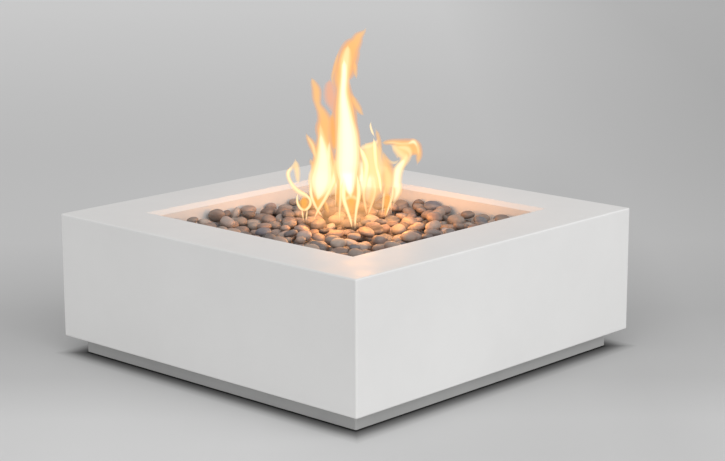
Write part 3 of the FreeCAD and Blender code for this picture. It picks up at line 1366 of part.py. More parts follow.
def hoses():
    """The burner's hose from the valve to the orifice, and the short one from the inlet to the valve."""
    level = size("controls_height")
    knob_x = size("niche_place") + size("knob_place")
    inlet_x = size("niche_place") + size("inlet_place")
    port_end = valve_back() - size("valve_port_length")
    orifice_end = (pan_underside() + size("pan_sheet") - size("nipple_reach") + size("nipple_grip")
                   - size("mixer_length") - size("orifice_hex_height") - size("orifice_tail"))
    run_level = (size("foot_height") + size("plinth_height") + size("tray_sheet")
                 + size("burner_hose_radius") + size("hose_clearance"))
    outlet_x = knob_x - size("valve_port_spacing") / 2
    keep_line("burner_hose", [
        Vector(outlet_x, port_end, level),
        Vector(outlet_x, port_end - 70, level),
        Vector(outlet_x + 40, port_end - 140, run_level + 14),
        Vector(-90, 200, run_level),
        Vector(0, 160, run_level),
        Vector(0, 0, run_level),
        Vector(0, 0, orifice_end),
    ], size("burner_hose_radius"))

    port_x = knob_x + size("valve_port_spacing") / 2
    loop_y = port_end - 50
    keep_line("inlet_hose", [
        Vector(inlet_x, panel_back() - size("inlet_shoulder_height") - size("inlet_tail_length"), level),
        Vector(inlet_x, loop_y, level),
        Vector(port_x, loop_y, level),
        Vector(port_x, port_end, level),
    ], size("inlet_hose_radius"))


def wires():
    """The igniter's wire to the electrode, and the thermocouple's lead to the valve."""
    level = size("controls_height")
    to_shield = pan_underside() - size("rail_tube") - size("shield_sheet") - level
    knob_x = size("niche_place") + size("knob_place")
    igniter_x = size("niche_place") + size("igniter_place")
    probe_x = size("probe_spacing") / 2
    probe_y = size("bracket_place")
    probe_base = pan_underside() - size("probe_drop")
    barrel_end = panel_back() - size("barrel_length")
    keep_line("electrode_wire", [
        Vector(igniter_x, barrel_end, level),
        Vector(igniter_x, barrel_end - size("wire_stub"), level),
        Vector(igniter_x + size("wire_swing"), probe_y + size("wire_turn"), level + 0.12 * to_shield),
        Vector(-probe_x - size("wire_swing"), probe_y + size("wire_rise"), level + 0.27 * to_shield),
        Vector(-probe_x, probe_y, level + 0.58 * to_shield),
        Vector(-probe_x, probe_y, probe_base),
    ], size("wire_radius"))
    lead_start = valve_back() - size("lead_port_length")
    lead_level = level - size("lead_port_drop")
    lead_bend = lead_start - size("lead_stub")
    keep_line("thermocouple_lead", [
        Vector(knob_x, lead_start, lead_level),
        Vector(knob_x, lead_bend, lead_level),
        Vector(knob_x + size("lead_swing"), lead_bend - size("lead_turn"), lead_level + 0.12 * to_shield),
        Vector(probe_x + size("lead_drift"), probe_y + size("lead_rise"), level + 0.19 * to_shield),
        Vector(probe_x, probe_y, level + 0.66 * to_shield),
        Vector(probe_x, probe_y, probe_base),
    ], size("lead_radius"))


def hose_clip():
    """A block on the tray that holds the burner hose where it runs to the mixer."""
    near = "clip_place - clip_length / 2"
    solid = block("clip_block", ("clip_width", "clip_length", "2 * (burner_hose_radius + hose_clearance)"),
                  ("-clip_width / 2", near, TRAY_TOP))
    bore = rod("clip_bore", "burner_hose_radius + thread_slack", "clip_length",
               ("0", near, HOSE_LEVEL), "+y")
    slit = block("clip_slit",
                 ("burner_hose_radius", "clip_length", "burner_hose_radius + 2 * hose_clearance"),
                 ("-burner_hose_radius / 2", near, HOSE_LEVEL))
    keep("hose_clip", cut("clip_cut", solid, [bore, slit]))


def hose_nuts():
    """Flare nuts over the hose ends."""
    made = []
    at_valve = f"{VALVE_BACK} - valve_port_length - hose_nut_height / 2"
    at_inlet = f"{PANEL_BACK} - inlet_shoulder_height - inlet_tail_length - hose_nut_height / 2"
    spots = [
        ((VALVE_OUTLET_X, at_valve, "controls_height"), "+y", "valve_port_radius"),
        ((VALVE_INLET_X, at_valve, "controls_height"), "+y", "valve_port_radius"),
        ((INLET_X, at_inlet, "controls_height"), "+y", "inlet_tail_radius"),
        (("0", "0", f"{ORIFICE_END} - hose_nut_height / 2"), "+z", "burner_hose_radius"),
    ]
    for number, (start, along, inner) in enumerate(spots):
        blank = hexagon(f"hose_nut_blank_{number}", "hose_nut", "hose_nut_height", start, along)
        bore = rod(f"hose_nut_bore_{number}", f"max({inner}; burner_hose_radius) + thread_slack",
                   "hose_nut_height", start, along)
        made.append(cut(f"hose_nut_{number}", blank, [bore]))
    keep("hose_nuts", group("hose_nut_set", made))


# ---------------------------------------------------------------- access door and vents
def door_frame():
    """A folded stainless frame that lines the door's opening, with the magnet's arm on its far side."""
    body = doc.addObject("PartDesign::Body", "door_frame_sheet")
    outer = ("door_width - 2 * liner_gap", "door_height - 2 * liner_gap")
    lining = sketch(body, "door_lining", "YZ_Plane", HALF_SIDE)
    rectangle(lining, DOOR_MIDDLE, outer)
    rectangle(lining, DOOR_MIDDLE, ("door_width - 2 * liner_sheet", "door_height - 2 * liner_sheet"))
    pad(body, lining, "side_wall", reverse=True)
    flange = sketch(body, "door_flange", "YZ_Plane", HALF_SIDE)
    rectangle(flange, DOOR_MIDDLE, ("door_width + 2 * liner_flange", "door_height + 2 * liner_flange"))
    rectangle(flange, DOOR_MIDDLE, ("door_width - 2 * liner_sheet", "door_height - 2 * liner_sheet"))
    pad(body, flange, "liner_sheet", reverse=True)
    holes = screw_holes("door_frame", [right_face(place) for place in DOOR_SCREWS], "-x")
    holes.append(rod("door_frame_pivot_hole", "pivot_radius + pivot_fit", "door_height",
                     (PIVOT_X, PIVOT_Y, "controls_height - door_height / 2")))
    keep("door_frame", cut("door_frame_drilled", body, holes))


def access_door():
    """A shallow folded door with louvres, a slot for the pull and a pivot block at two corners."""
    body = doc.addObject("PartDesign::Body", "door_sheet_metal")
    outer = (f"2 * {DOOR_HALF_WIDTH}", f"2 * {DOOR_HALF_HEIGHT}")
    panel = sketch(body, "door_outline", "YZ_Plane", DOOR_FACE)
    rectangle(panel, DOOR_MIDDLE, outer)
    pad(body, panel, "door_thick", reverse=True)
    hollow = sketch(body, "door_hollow", "YZ_Plane", f"{DOOR_FACE} - door_thick")
    rectangle(hollow, DOOR_MIDDLE, (f"{outer[0]} - 2 * door_sheet", f"{outer[1]} - 2 * door_sheet"))
    pocket(body, hollow, "door_thick - door_sheet", reverse=True)
    blocks = sketch(body, "door_pivot_blocks", "YZ_Plane", f"{DOOR_FACE} - door_sheet")
    for side in (-1, 1):
        rectangle(blocks,
                  (f"{PIVOT_Y} - pivot_side + door_sheet + pivot_block / 2",
                   f"controls_height + {side} * ({DOOR_HALF_HEIGHT} - door_sheet - pivot_hold / 2)"),
                  ("pivot_block", "pivot_hold"))
    pad(body, blocks, "door_thick - door_sheet", reverse=True)
    slot = sketch(body, "door_pull_slot", "YZ_Plane", DOOR_FACE)
    rectangle(slot, (PULL_PLACE, "controls_height"), ("pull_width", "pull_height"))
    pocket(body, slot, "door_sheet")
    louvre = sketch(body, "door_louvres", "YZ_Plane", DOOR_FACE)
    for place in (f"louvre_inset - {DOOR_HALF_WIDTH} + louvre_width / 2",
                  f"{PULL_PLACE} - pull_width / 2 - louvre_margin - louvre_width / 2"):
        rectangle(louvre, (place, f"controls_height - louvre_pitch * {LOUVRES - 1} / 2"),
                  ("louvre_width", "louvre_height"))
    first = pocket(body, louvre, "door_sheet")
    pattern(body, first, "V_Axis", "louvre_pitch", LOUVRES)
    bore = rod("door_pivot_bore", "pivot_radius + pivot_fit", "door_height",
               (PIVOT_X, PIVOT_Y, "controls_height - door_height / 2"))
    keep("access_door", cut("door_drilled", body, [bore]))


def door_fittings():
    """Pivot pins in the frame, the recessed pull, the magnet and the strike plate it holds."""
    length = "(liner_gap + liner_sheet + door_gap + pivot_hold)"
    pins = [rod("door_pin_lower", "pivot_radius", length,
                (PIVOT_X, PIVOT_Y, "controls_height - door_height / 2 + liner_gap")),
            rod("door_pin_upper", "pivot_radius", length,
                (PIVOT_X, PIVOT_Y, "controls_height + door_height / 2 - liner_gap"), "-z")]
    keep("door_pins", group("door_pin_set", pins))

    middle = (PULL_PLACE, "controls_height")
    cup = doc.addObject("PartDesign::Body", "pull_cup")
    outer = ("pull_width - 2 * liner_gap", "pull_height - 2 * liner_gap")
    walls = sketch(cup, "pull_outline", "YZ_Plane", DOOR_FACE)
    rectangle(walls, middle, outer)
    pad(cup, walls, "pull_depth", reverse=True)
    rim = sketch(cup, "pull_rim", "YZ_Plane", DOOR_FACE)
    rectangle(rim, middle, ("pull_width + 2 * pull_flange", "pull_height + 2 * pull_flange"))
    pad(cup, rim, "pull_sheet")
    hollow = sketch(cup, "pull_hollow", "YZ_Plane", f"{DOOR_FACE} + pull_sheet")
    rectangle(hollow, middle, (f"{outer[0]} - 2 * pull_sheet", f"{outer[1]} - 2 * pull_sheet"))
    pocket(cup, hollow, "pull_depth")
    keep("door_pull", cup)

    strike_y = f"({DOOR_HALF_WIDTH} - magnet_reach + strike_size / 2)"
    strike_face = f"({DOOR_FACE} - door_sheet - strike_thick)"
    strike_z = "(controls_height + pull_height + strike_size / 4)"
    keep("door_strike", block("strike_plate", ("strike_thick", "strike_size", "strike_size"),
                              (strike_face, f"{strike_y} - strike_size / 2",
                               f"{strike_z} - strike_size / 2")))
    frame_side = "(door_width / 2 - liner_sheet)"
    back = f"({DOOR_FACE} - door_thick - door_gap)"
    corner = (f"{back} - magnet_arm", f"{strike_y} - magnet_size / 2", f"{strike_z} - magnet_size / 2")
    arm = block("magnet_bar",
                ("magnet_arm", f"{frame_side} - {strike_y} + magnet_size / 2", "magnet_size"), corner)
    head = block("magnet_head",
                 (f"{strike_face} - magnet_gap - {back} + magnet_arm", "magnet_size", "magnet_size"),
                 corner)
    keep("door_magnet", fuse("magnet_holder", [arm, head]))


def vent_grille(label, middle, plane, offset, along, to_face, away):
    """A slotted stainless plate let into a side over a vent opening, with its four screws."""
    body = doc.addObject("PartDesign::Body", label + "_plate")
    plate = sketch(body, label + "_outline", plane, offset)
    rectangle(plate, middle, ("grille_width", "grille_height"))
    pad(body, plate, "grille_sheet", reverse=away)
    slots = sketch(body, label + "_slots", plane, offset)
    count = int((size("grille_width") - 2 * size("grille_margin")) / size("grille_pitch"))
    start = f"({middle[0]}) - grille_pitch * {(count - 1) / 2}"
    rectangle(slots, (start, middle[1]), ("grille_slot", "grille_height - 2 * grille_margin"))
    first = pocket(body, slots, "grille_sheet", reverse=not away)
    pattern(body, first, "H_Axis", "grille_pitch", count)
    places = [to_face(place) for place in corners_of(middle, GRILLE_SCREW_BOX)]
    keep(label, cut(label + "_drilled", body, screw_holes(label, places, along)))
    return screws(label + "_screw", places, along)


def vents():
    """One grille in the rear side and two in the right side; the set of their screws is one piece."""
    fixings = vent_grille("vent_grille_rear", REAR_GRILLE_MIDDLE, "XZ_Plane", f"-{HALF_SIDE}", "-y",
                          rear_face, away=False)
    for name, middle in zip(("front", "back"), SIDE_GRILLE_MIDDLES):
        fixings += vent_grille(f"vent_grille_side_{name}", middle, "YZ_Plane", HALF_SIDE, "-x",
                               right_face, away=True)
    keep("vent_screws", group("vent_screw_set", fixings))
    frames = screws("niche_screw", [rear_face(place) for place in NICHE_SCREWS], "-y")
    frames += screws("door_screw", [right_face(place) for place in DOOR_SCREWS], "-x")
    keep("frame_screws", group("frame_screw_set", frames))


# ---------------------------------------------------------------- build, test and write
concrete_shell()
plinth_ring()
foot_pads()
base_tray()
tray_screws()
corner_posts()
side_rail("side_rail_left", -1)
side_rail("side_rail_right", 1)
cross_bearer("cross_bearer_front", -1)
cross_bearer("cross_bearer_rear", 1)
frame_bolts()
heat_shield()
burner_pan()
ring_burner()
gas_train()
lava_fill()
pebbles()
control_niche()
control_panel()
gas_valve()
knob_pieces()
igniter()
gas_inlet()
probes()
hoses()
wires()
hose_nuts()
hose_clip()
door_frame()
access_door()
door_fittings()
vents()
doc.recompute()

for thing in doc.Objects:
    if "Invalid" in thing.State or "Error" in thing.State:
        raise RuntimeError(f"{thing.Name} failed: {thing.State}")
for label, piece in pieces.items():
    if piece.Shape.isNull() or not piece.Shape.isValid():
        raise RuntimeError(f"{label} has no valid shape")

os.makedirs("parts", exist_ok=True)
for label, piece in pieces.items():
    piece.Shape.exportStep(f"parts/{label}.step")
print(f"{len(pieces)} pieces written")
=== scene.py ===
"""Dresses the square concrete gas fire table: its finishes, pebbles, flame and hoses, and the studio."""

import json
import math

import bmesh
import bpy
import numpy as np
from mathutils import Matrix, Vector
from mathutils.geometry import tessellate_polygon


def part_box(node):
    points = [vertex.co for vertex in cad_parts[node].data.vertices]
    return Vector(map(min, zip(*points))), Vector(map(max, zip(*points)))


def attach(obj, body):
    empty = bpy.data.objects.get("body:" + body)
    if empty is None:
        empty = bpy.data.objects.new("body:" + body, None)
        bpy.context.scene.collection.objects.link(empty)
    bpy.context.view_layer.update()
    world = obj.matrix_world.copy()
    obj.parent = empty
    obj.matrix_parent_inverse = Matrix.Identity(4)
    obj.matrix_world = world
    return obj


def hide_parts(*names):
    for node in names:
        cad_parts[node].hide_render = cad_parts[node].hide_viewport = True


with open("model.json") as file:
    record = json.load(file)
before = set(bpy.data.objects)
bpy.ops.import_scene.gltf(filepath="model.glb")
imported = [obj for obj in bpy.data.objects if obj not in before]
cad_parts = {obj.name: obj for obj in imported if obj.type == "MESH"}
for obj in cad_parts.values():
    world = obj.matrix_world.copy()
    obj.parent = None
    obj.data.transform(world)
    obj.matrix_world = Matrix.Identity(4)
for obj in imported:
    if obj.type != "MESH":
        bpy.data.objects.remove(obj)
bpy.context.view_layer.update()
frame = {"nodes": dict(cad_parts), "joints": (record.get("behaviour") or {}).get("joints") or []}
nodes = frame["nodes"]

# ---------------------------------------------------------------- camera
# A long lens at standing height, aimed at the table's near corner from in front and to the left,
# tipped down far enough for the pebbles to be seen over the near rims.
CAMERA_PLACE = Vector((-3.64935, -3.45527, 1.44845))
CAMERA_HEADING = math.radians(47.039)
CAMERA_DIP = math.radians(12.58)
CAMERA_ROLL = math.radians(-0.148)
LENS, SENSOR_WIDTH = 96.36, 36

camera = bpy.data.objects.new("camera", bpy.data.cameras.new("camera"))
camera.data.lens = LENS
camera.data.sensor_width = SENSOR_WIDTH
camera.matrix_world = (Matrix.Translation(CAMERA_PLACE)
                       @ Matrix.Rotation(-CAMERA_HEADING, 4, "Z")
                       @ Matrix.Rotation(math.pi / 2 - CAMERA_DIP, 4, "X")
                       @ Matrix.Rotation(CAMERA_ROLL, 4, "Z"))
bpy.context.scene.collection.objects.link(camera)
bpy.context.scene.camera = camera
bpy.context.scene.view_settings.view_transform = "Standard"


# ---------------------------------------------------------------- studio floor
# One seamless sheet of grey paper, which far away stands for the backdrop. Its grey carries painted
# light and shade: it changes going back, it is painted darker beside the table and to the right, and a
# painted contact shadow lies round the table's foot, darkest right under it.
class Finish:
    """One procedural material on the principled shader, built up a layer at a time."""

    def __init__(self, name, colour, roughness, metallic=0.0):
        self.material = bpy.data.materials.new(name)
        self.material.use_nodes = True
        self.nodes = self.material.node_tree.nodes
        self.links = self.material.node_tree.links
        self.shader = self.nodes["Principled BSDF"]
        self.shader.inputs["Base Color"].default_value = (*colour, 1)
        self.shader.inputs["Roughness"].default_value = roughness
        self.shader.inputs["Metallic"].default_value = metallic
        self.place = self.nodes.new("ShaderNodeTexCoord").outputs["Object"]

    def set(self, **values):
        """Constants of the shader itself, such as Coat_Weight=0.2."""
        for name, value in values.items():
            self.shader.inputs[name.replace("_", " ")].default_value = value
        return self

    def node(self, kind, sockets=None, **values):
        """A node with its inputs set from numbers or joined to other sockets."""
        made = self.nodes.new(kind)
        for name, value in values.items():
            setattr(made, name, value)
        for name, value in (sockets or {}).items():
            if isinstance(value, bpy.types.NodeSocket):
                self.links.new(value, made.inputs[name])
            else:
                made.inputs[name].default_value = value
        return made

    def stretched(self, x, y, z):
        """The object's coordinates, scaled along its axes."""
        return self.node("ShaderNodeMapping", {"Vector": self.place, "Scale": (x, y, z)}).outputs[0]

    def noise(self, scale, detail=3, roughness=0.5, place=None):
        """Soft clouds, finer as the scale goes up."""
        return self.node("ShaderNodeTexNoise", {"Vector": place or self.place, "Scale": scale,
                                                "Detail": detail, "Roughness": roughness}).outputs[0]

    def cells(self, scale, output="Distance"):
        """A pattern of irregular cells: the distance from their middles, or a colour for each."""
        return self.node("ShaderNodeTexVoronoi", {"Vector": self.place, "Scale": scale}).outputs[output]

    def span(self, value, low, high, first=0.0, last=1.0):
        """A value's range from low to high, stretched to run from first to last."""
        return self.node("ShaderNodeMapRange", {"Value": value, "From Min": low, "From Max": high,
                                                "To Min": first, "To Max": last}).outputs[0]

    def sums(self, operation, first, second=0.0):
        """One sum done on one or two numbers or sockets."""
        return self.node("ShaderNodeMath", {0: first, 1: second}, operation=operation).outputs[0]

    def times(self, first, second):
        """Two colours multiplied, channel by channel."""
        return self.node("ShaderNodeVectorMath", {0: first, 1: second}, operation="MULTIPLY").outputs[0]

    def parts(self, vector):
        """A vector's three numbers."""
        return self.node("ShaderNodeSeparateXYZ", {0: vector}).outputs

    def from_axis(self):
        """How far a point stands from the table's axis, measured square to the sides."""
        square = self.node("ShaderNodeVectorMath", {0: self.place}, operation="ABSOLUTE").outputs[0]
        along_x, along_y, _ = self.parts(square)
        return self.sums("MAXIMUM", along_x, along_y)

    def blend(self, share, first, second):
        """A colour between two colours or colour sockets."""
        made = self.nodes.new("ShaderNodeMix")
        made.data_type = "RGBA"
        self.links.new(share, made.inputs[0])
        for index, colour in ((6, first), (7, second)):
            if isinstance(colour, bpy.types.NodeSocket):
                self.links.new(colour, made.inputs[index])
            else:
                made.inputs[index].default_value = (*colour, 1)
        return made.outputs[2]

    def ramp(self, value, stops):
        """A colour read off a scale of (place, colour) stops."""
        made = self.node("ShaderNodeValToRGB", {0: value})
        scale = made.color_ramp.elements
        while len(scale) < len(stops):
            scale.new(0.5)
        for element, (place, colour) in zip(scale, stops):
            element.position = place
            element.color = (*colour, 1)
        return made.outputs[0]

    def colour(self, socket):
        """Paint the shader with a colour socket."""
        self.links.new(socket, self.shader.inputs["Base Color"])
        return self

    def two_tone(self, value, first, second, low=0.35, high=0.7):
        """Colour that drifts from one tone to another as a value goes from low to high."""
        return self.colour(self.blend(self.span(value, low, high), first, second))

    def rough(self, socket, low, high):
        """Roughness that follows a value between two levels."""
        self.links.new(self.span(socket, 0.3, 0.7, low, high), self.shader.inputs["Roughness"])
        return self

    def bump(self, socket, depth, strength=1.0):
        """Relief of a real depth, in metres, over what relief there is already."""
        made = self.node("ShaderNodeBump", {"Height": socket, "Distance": depth, "Strength": strength})
        below = self.shader.inputs["Normal"].links
        if below:
            self.links.new(below[0].from_socket, made.inputs["Normal"])
        self.links.new(made.outputs[0], self.shader.inputs["Normal"])
        return self


def mesh_piece(name, points, faces, finish, smooth=True):
    """A new object from points and faces."""
    mesh = bpy.data.meshes.new(name)
    mesh.from_pydata([tuple(point) for point in points], [], [tuple(face) for face in faces])
    mesh.materials.append(finish.material)
    mesh.polygons.foreach_set("use_smooth", [smooth] * len(mesh.polygons))
    made = bpy.data.objects.new(name, mesh)
    bpy.context.scene.collection.objects.link(made)
    return made


# greys of the paper, all painted light and shade, as (metres, grey): going backwards, going out to the
# right, across the painted shade of the strip beside the table, and out through the painted contact
# shadow from the table's foot
FLOOR_REACH = 40
BACK_PAINTED_LIGHT = ((-1.0, 0.745), (-0.6, 0.735), (-0.25, 0.622), (0.4, 0.589), (1.3, 0.689), (2.6, 0.711),
              (4.0, 0.756), (5.9, 0.822), (8.5, 0.889))
SIDE_PAINTED_SHADE = ((0.6, 1.0), (1.2, 0.88), (1.9, 0.77), (2.6, 0.73))
BESIDE_PAINTED_SHADE = ((-1.0, 0.94), (-0.6, 0.97), (-0.2, 0.94), (0.15, 0.84), (0.45, 0.80), (0.75, 0.81),
                (1.0, 0.90))
BESIDE_ENDS, BEHIND_TONE = (1.2, 3.0), 0.9
# the painted contact shadow round the table's foot, from under it outwards
FOOT_PAINTED_SHADOW = ((-0.010, 0.02), (0.0, 0.10), (0.005, 0.24), (0.024, 0.44), (0.044, 0.78), (0.066, 1.0))
paper = Finish("floor_paper", (0.65, 0.65, 0.65), 0.9).set(Specular_IOR_Level=0.0)


def grey_scale(value, stops):
    """A grey read off a scale of (metres, grey) stops."""
    low, high = stops[0][0], stops[-1][0]
    return paper.ramp(paper.span(value, low, high),
                      [((place - low) / (high - low), (grey,) * 3) for place, grey in stops])


turned = paper.node("ShaderNodeMapping", {"Vector": paper.place, "Rotation": (0, 0, CAMERA_HEADING)})
sideways, backwards, _ = paper.parts(turned.outputs[0])
from_foot = paper.sums("SUBTRACT", paper.from_axis(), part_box("plinth_ring")[1].x)
painted_paper_light = paper.times(grey_scale(backwards, BACK_PAINTED_LIGHT), grey_scale(sideways, SIDE_PAINTED_SHADE))
beside = paper.blend(paper.span(backwards, *BESIDE_ENDS), grey_scale(sideways, BESIDE_PAINTED_SHADE),
                     (BEHIND_TONE,) * 3)
# the paper's painted light, times the painted shade beside the table and the painted contact shadow round
# its foot
paper.colour(paper.times(paper.times(painted_paper_light, beside), grey_scale(from_foot, FOOT_PAINTED_SHADOW)))
corners = [Vector((x, y, 0)) * FLOOR_REACH for x, y in ((-1, -1), (1, -1), (1, 1), (-1, 1))]
floor = mesh_piece("studio_floor", corners, [(0, 1, 2, 3)], paper)

# ---------------------------------------------------------------- studio light
# An even white room, a very wide soft lamp far behind the camera, and a second one nearer, out to
# the right, so that the right side is the brightest and nothing throws a hard shadow.
ROOM_LIGHT = 0.52
KEY_TOWARDS = Vector((-0.60, -0.60, 0.53)).normalized()
KEY_LEVEL, KEY_SPREAD = 1.2, math.radians(75)
SIDE_TOWARDS = Vector((0.14, -0.80, 0.58)).normalized()
SIDE_LEVEL, SIDE_RANGE, SIDE_WIDTH = 0.80, 4.5, 4.0

world = bpy.data.worlds.new("studio")
world.use_nodes = True
world.node_tree.nodes["Background"].inputs["Color"].default_value = (1, 1, 1, 1)
world.node_tree.nodes["Background"].inputs["Strength"].default_value = ROOM_LIGHT
bpy.context.scene.world = world


def lamp(name, kind, power, colour=(1, 1, 1)):
    """A light of one kind and power, not yet placed."""
    data = bpy.data.lights.new(name, kind)
    data.energy = power
    data.color = colour
    made = bpy.data.objects.new(name, data)
    bpy.context.scene.collection.objects.link(made)
    return made


def aim(light, towards):
    """Turn a light so that it shines from the way given."""
    light.rotation_euler = towards.to_track_quat("Z", "Y").to_euler()


key_lamp = lamp("soft_key", "SUN", KEY_LEVEL)
key_lamp.data.angle = KEY_SPREAD
aim(key_lamp, KEY_TOWARDS)
side_lamp = lamp("soft_side", "AREA", SIDE_LEVEL * math.pi * SIDE_RANGE ** 2)
side_lamp.data.shape = "DISK"
side_lamp.data.size = SIDE_WIDTH
side_lamp.location = SIDE_TOWARDS * SIDE_RANGE
aim(side_lamp, SIDE_TOWARDS)

# ---------------------------------------------------------------- concrete shell
# One white casting, rubbed smooth and sealed: a satin skin with faint clouds and a scatter of
# pinholes where air sat against the mould. The lining of the mouth is painted a little darker than
# the rest, as painted shade in the recess.
MOUTH_HALF, LINING_SKIN = 0.3735, 0.0015
MOUTH_PAINTED_SHADE = (0.92, 0.91, 0.90)


def dress(finish, *names):
    """Give CAD nodes their finish."""
    for name in names:
        materials = nodes[name].data.materials
        materials.clear()
        materials.append(finish.material)


def concrete(name, light, dark, roughness, grain):
    """Cast concrete: broad clouds, a fine grain of a given depth, and pinholes in patches."""
    made = Finish(name, light, roughness)
    made.two_tone(made.noise(3.2, detail=5, roughness=0.6), light, dark, high=0.75)
    made.rough(made.noise(18, detail=4), roughness - 0.05, roughness + 0.09)
    made.bump(made.noise(420, detail=2), grain, 0.5)
    pinholes = made.span(made.cells(95), 0.0, 0.075)
    sparse = made.span(made.noise(34, detail=1), 0.60, 0.66)
    made.bump(made.sums("MAXIMUM", pinholes, made.sums("SUBTRACT", 1.0, sparse)), 0.0007, 0.8)
    made.bump(made.noise(6, detail=2), 0.0004, 0.5)
    return made


sealed_concrete = concrete("white_concrete", (0.79, 0.787, 0.78), (0.755, 0.752, 0.745), 0.45, 0.00006)
# painted shade: the lining of the mouth is coloured a little darker than the rest of the shell
in_the_mouth = sealed_concrete.span(sealed_concrete.from_axis(), MOUTH_HALF + LINING_SKIN, MOUTH_HALF)
clean = sealed_concrete.shader.inputs["Base Color"].links[0].from_socket
painted_mouth_shade = sealed_concrete.times(clean, MOUTH_PAINTED_SHADE)
sealed_concrete.colour(sealed_concrete.blend(in_the_mouth, clean, painted_mouth_shade))
dress(sealed_concrete, "concrete_shell")

# ---------------------------------------------------------------- plinth and feet
# The plinth is a plain concrete ring, cast apart from the shell and left unsealed, that stands back under
# it and carries it; its grey is painted darker than the shell's, as painted shade for the shadow under the
# shell's overhang. Thin black rubber discs keep the ring off the ground.
dress(concrete("plinth_concrete", (0.54, 0.54, 0.535), (0.49, 0.49, 0.485), 0.62, 0.00015), "plinth_ring")

rubber = Finish("black_rubber", (0.02, 0.02, 0.02), 0.75)
rubber.bump(rubber.noise(900, detail=2), 0.0002)
dress(rubber, "foot_pads")

# ---------------------------------------------------------------- lava fill
# Crushed lava rock fills the pan up to the rings and spreads the gas: a dark porous mound, with
# loose angular lumps lying on it wherever the pebbles leave a gap.
lava = Finish("lava_rock", (0.035, 0.026, 0.022), 0.95)
lava.colour(lava.ramp(lava.noise(60, detail=4),
                      [(0.35, (0.016, 0.012, 0.011)), (0.7, (0.075, 0.05, 0.04))]))
lava.bump(lava.cells(160), 0.006)
lava.bump(lava.noise(500, detail=4), 0.0015)
dress(lava, "lava_fill")


WELD = 1e-5


def islands(node):
    """The points of every separate solid in a node, in a fixed order."""
    shape = bmesh.new()
    shape.from_mesh(nodes[node].data)
    bmesh.ops.remove_doubles(shape, verts=shape.verts, dist=WELD)
    waiting = set(shape.verts)
    found = []
    while waiting:
        edge = [waiting.pop()]
        group = []
        while edge:
            point = edge.pop()
            group.append(tuple(point.co))
            for link in point.link_edges:
                other = link.other_vert(point)
                if other in waiting:
                    waiting.remove(other)
                    edge.append(other)
        found.append(np.array(sorted(group)))
    shape.free()
    return sorted(found, key=lambda group: tuple(np.round(group.mean(0), 4)))


def stone_frame(points):
    """A stone's centre, its three axes as columns, and its half sizes along them."""
    middle = points.mean(0)
    axes = np.linalg.eigh(np.cov((points - middle).T))[1][:, ::-1]
    axes *= np.where(axes[np.abs(axes).argmax(0), range(3)] < 0, -1, 1)
    along = (points - middle) @ axes
    low, high = along.min(0), along.max(0)
    return middle + axes @ ((low + high) / 2), axes, (high - low) / 2


stones = [stone_frame(points) for points in islands("pebbles")]
stone_places = np.array([place for place, _, _ in stones])
stone_axes = np.array([axes for _, axes, _ in stones])
stone_sizes = np.array([size for _, _, size in stones])


def inside_a_stone(point, margin):
    """Whether a point is within a pebble, or nearer to one than the margin."""
    across = np.einsum("sij,si->sj", stone_axes, point - stone_places) / (stone_sizes + margin)
    return bool((np.square(across).sum(1) < 1).any())


def round_cage(steps):
    """Points of a ball made of six square patches, and its faces."""
    ball = bmesh.new()
    bmesh.ops.create_cube(ball, size=2)
    bmesh.ops.subdivide_edges(ball, edges=ball.edges, cuts=steps - 1, use_grid_fill=True)
    points = np.array([tuple(point.co) for point in ball.verts])
    points = np.tan(points * math.pi / 4)
    points /= np.linalg.norm(points, axis=1, keepdims=True)
    faces = np.array([[point.index for point in face.verts] for face in ball.faces])
    ball.free()
    return points, faces


def copies(faces, points_each, count):
    """A shape's faces, once for each of its copies."""
    return np.vstack([faces + index * points_each for index in range(count)])


LUMP_SIZES, LUMP_TRIES, LUMP_FIELD = (0.006, 0.012), 5200, 0.345
LUMP_CORNERS, LUMP_STRETCH = (0.62, 1.15), (0.7, 1.1)
LUMP_MARGIN, LUMP_RISE, LUMP_STEPS = 0.6, 0.35, 2
draw = np.random.default_rng(11)
lump_cage, lump_faces = round_cage(LUMP_STEPS)
lump_points = []
for _ in range(LUMP_TRIES):
    x, y = draw.uniform(-LUMP_FIELD, LUMP_FIELD, 2)
    size = draw.uniform(*LUMP_SIZES)
    corners = lump_cage * draw.uniform(*LUMP_CORNERS, (len(lump_cage), 1))
    corners = corners * draw.uniform(*LUMP_STRETCH, 3) * size
    hit, place, _, _ = nodes["lava_fill"].ray_cast(Vector((x, y, 1)), Vector((0, 0, -1)))
    if not hit or inside_a_stone(np.array(place), size * LUMP_MARGIN):
        continue
    lump_points.append(corners + np.array(place) + (0, 0, size * LUMP_RISE))
lumps = mesh_piece("lava_lumps", np.vstack(lump_points),
                   copies(lump_faces, len(lump_cage), len(lump_points)), lava, smooth=False)
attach(lumps, "table")

# ---------------------------------------------------------------- river pebbles
# Two loose layers of beach pebbles laid over the rings by hand: water-worn, matt, mostly taupe and
# warm grey, with slate-blue and charcoal ones among them.
STONE_STEPS = 7
STONE_TONES = (((0.236, 0.170, 0.142), 36), ((0.308, 0.234, 0.200), 26), ((0.385, 0.312, 0.272), 13),
               ((0.150, 0.131, 0.130), 12), ((0.125, 0.130, 0.155), 9), ((0.072, 0.064, 0.065), 4))
TONE_RANGE, TONE_DRIFT = (0.72, 1.3), 0.02
SQUARENESS, LONG_TAPER, WIDE_TAPER = (2.0, 2.45), 0.10, 0.07
WAVES, WAVE_HEIGHT, WAVE_PACE, WAVE_START = 4, (0.008, 0.026), 2.2, (0, 6.3)
FLATS, FLAT_DEPTH, FLAT_FROM = 2, 0.13, 0.55
SKIN_ROOM = 1.045
cage, cage_faces = round_cage(STONE_STEPS)


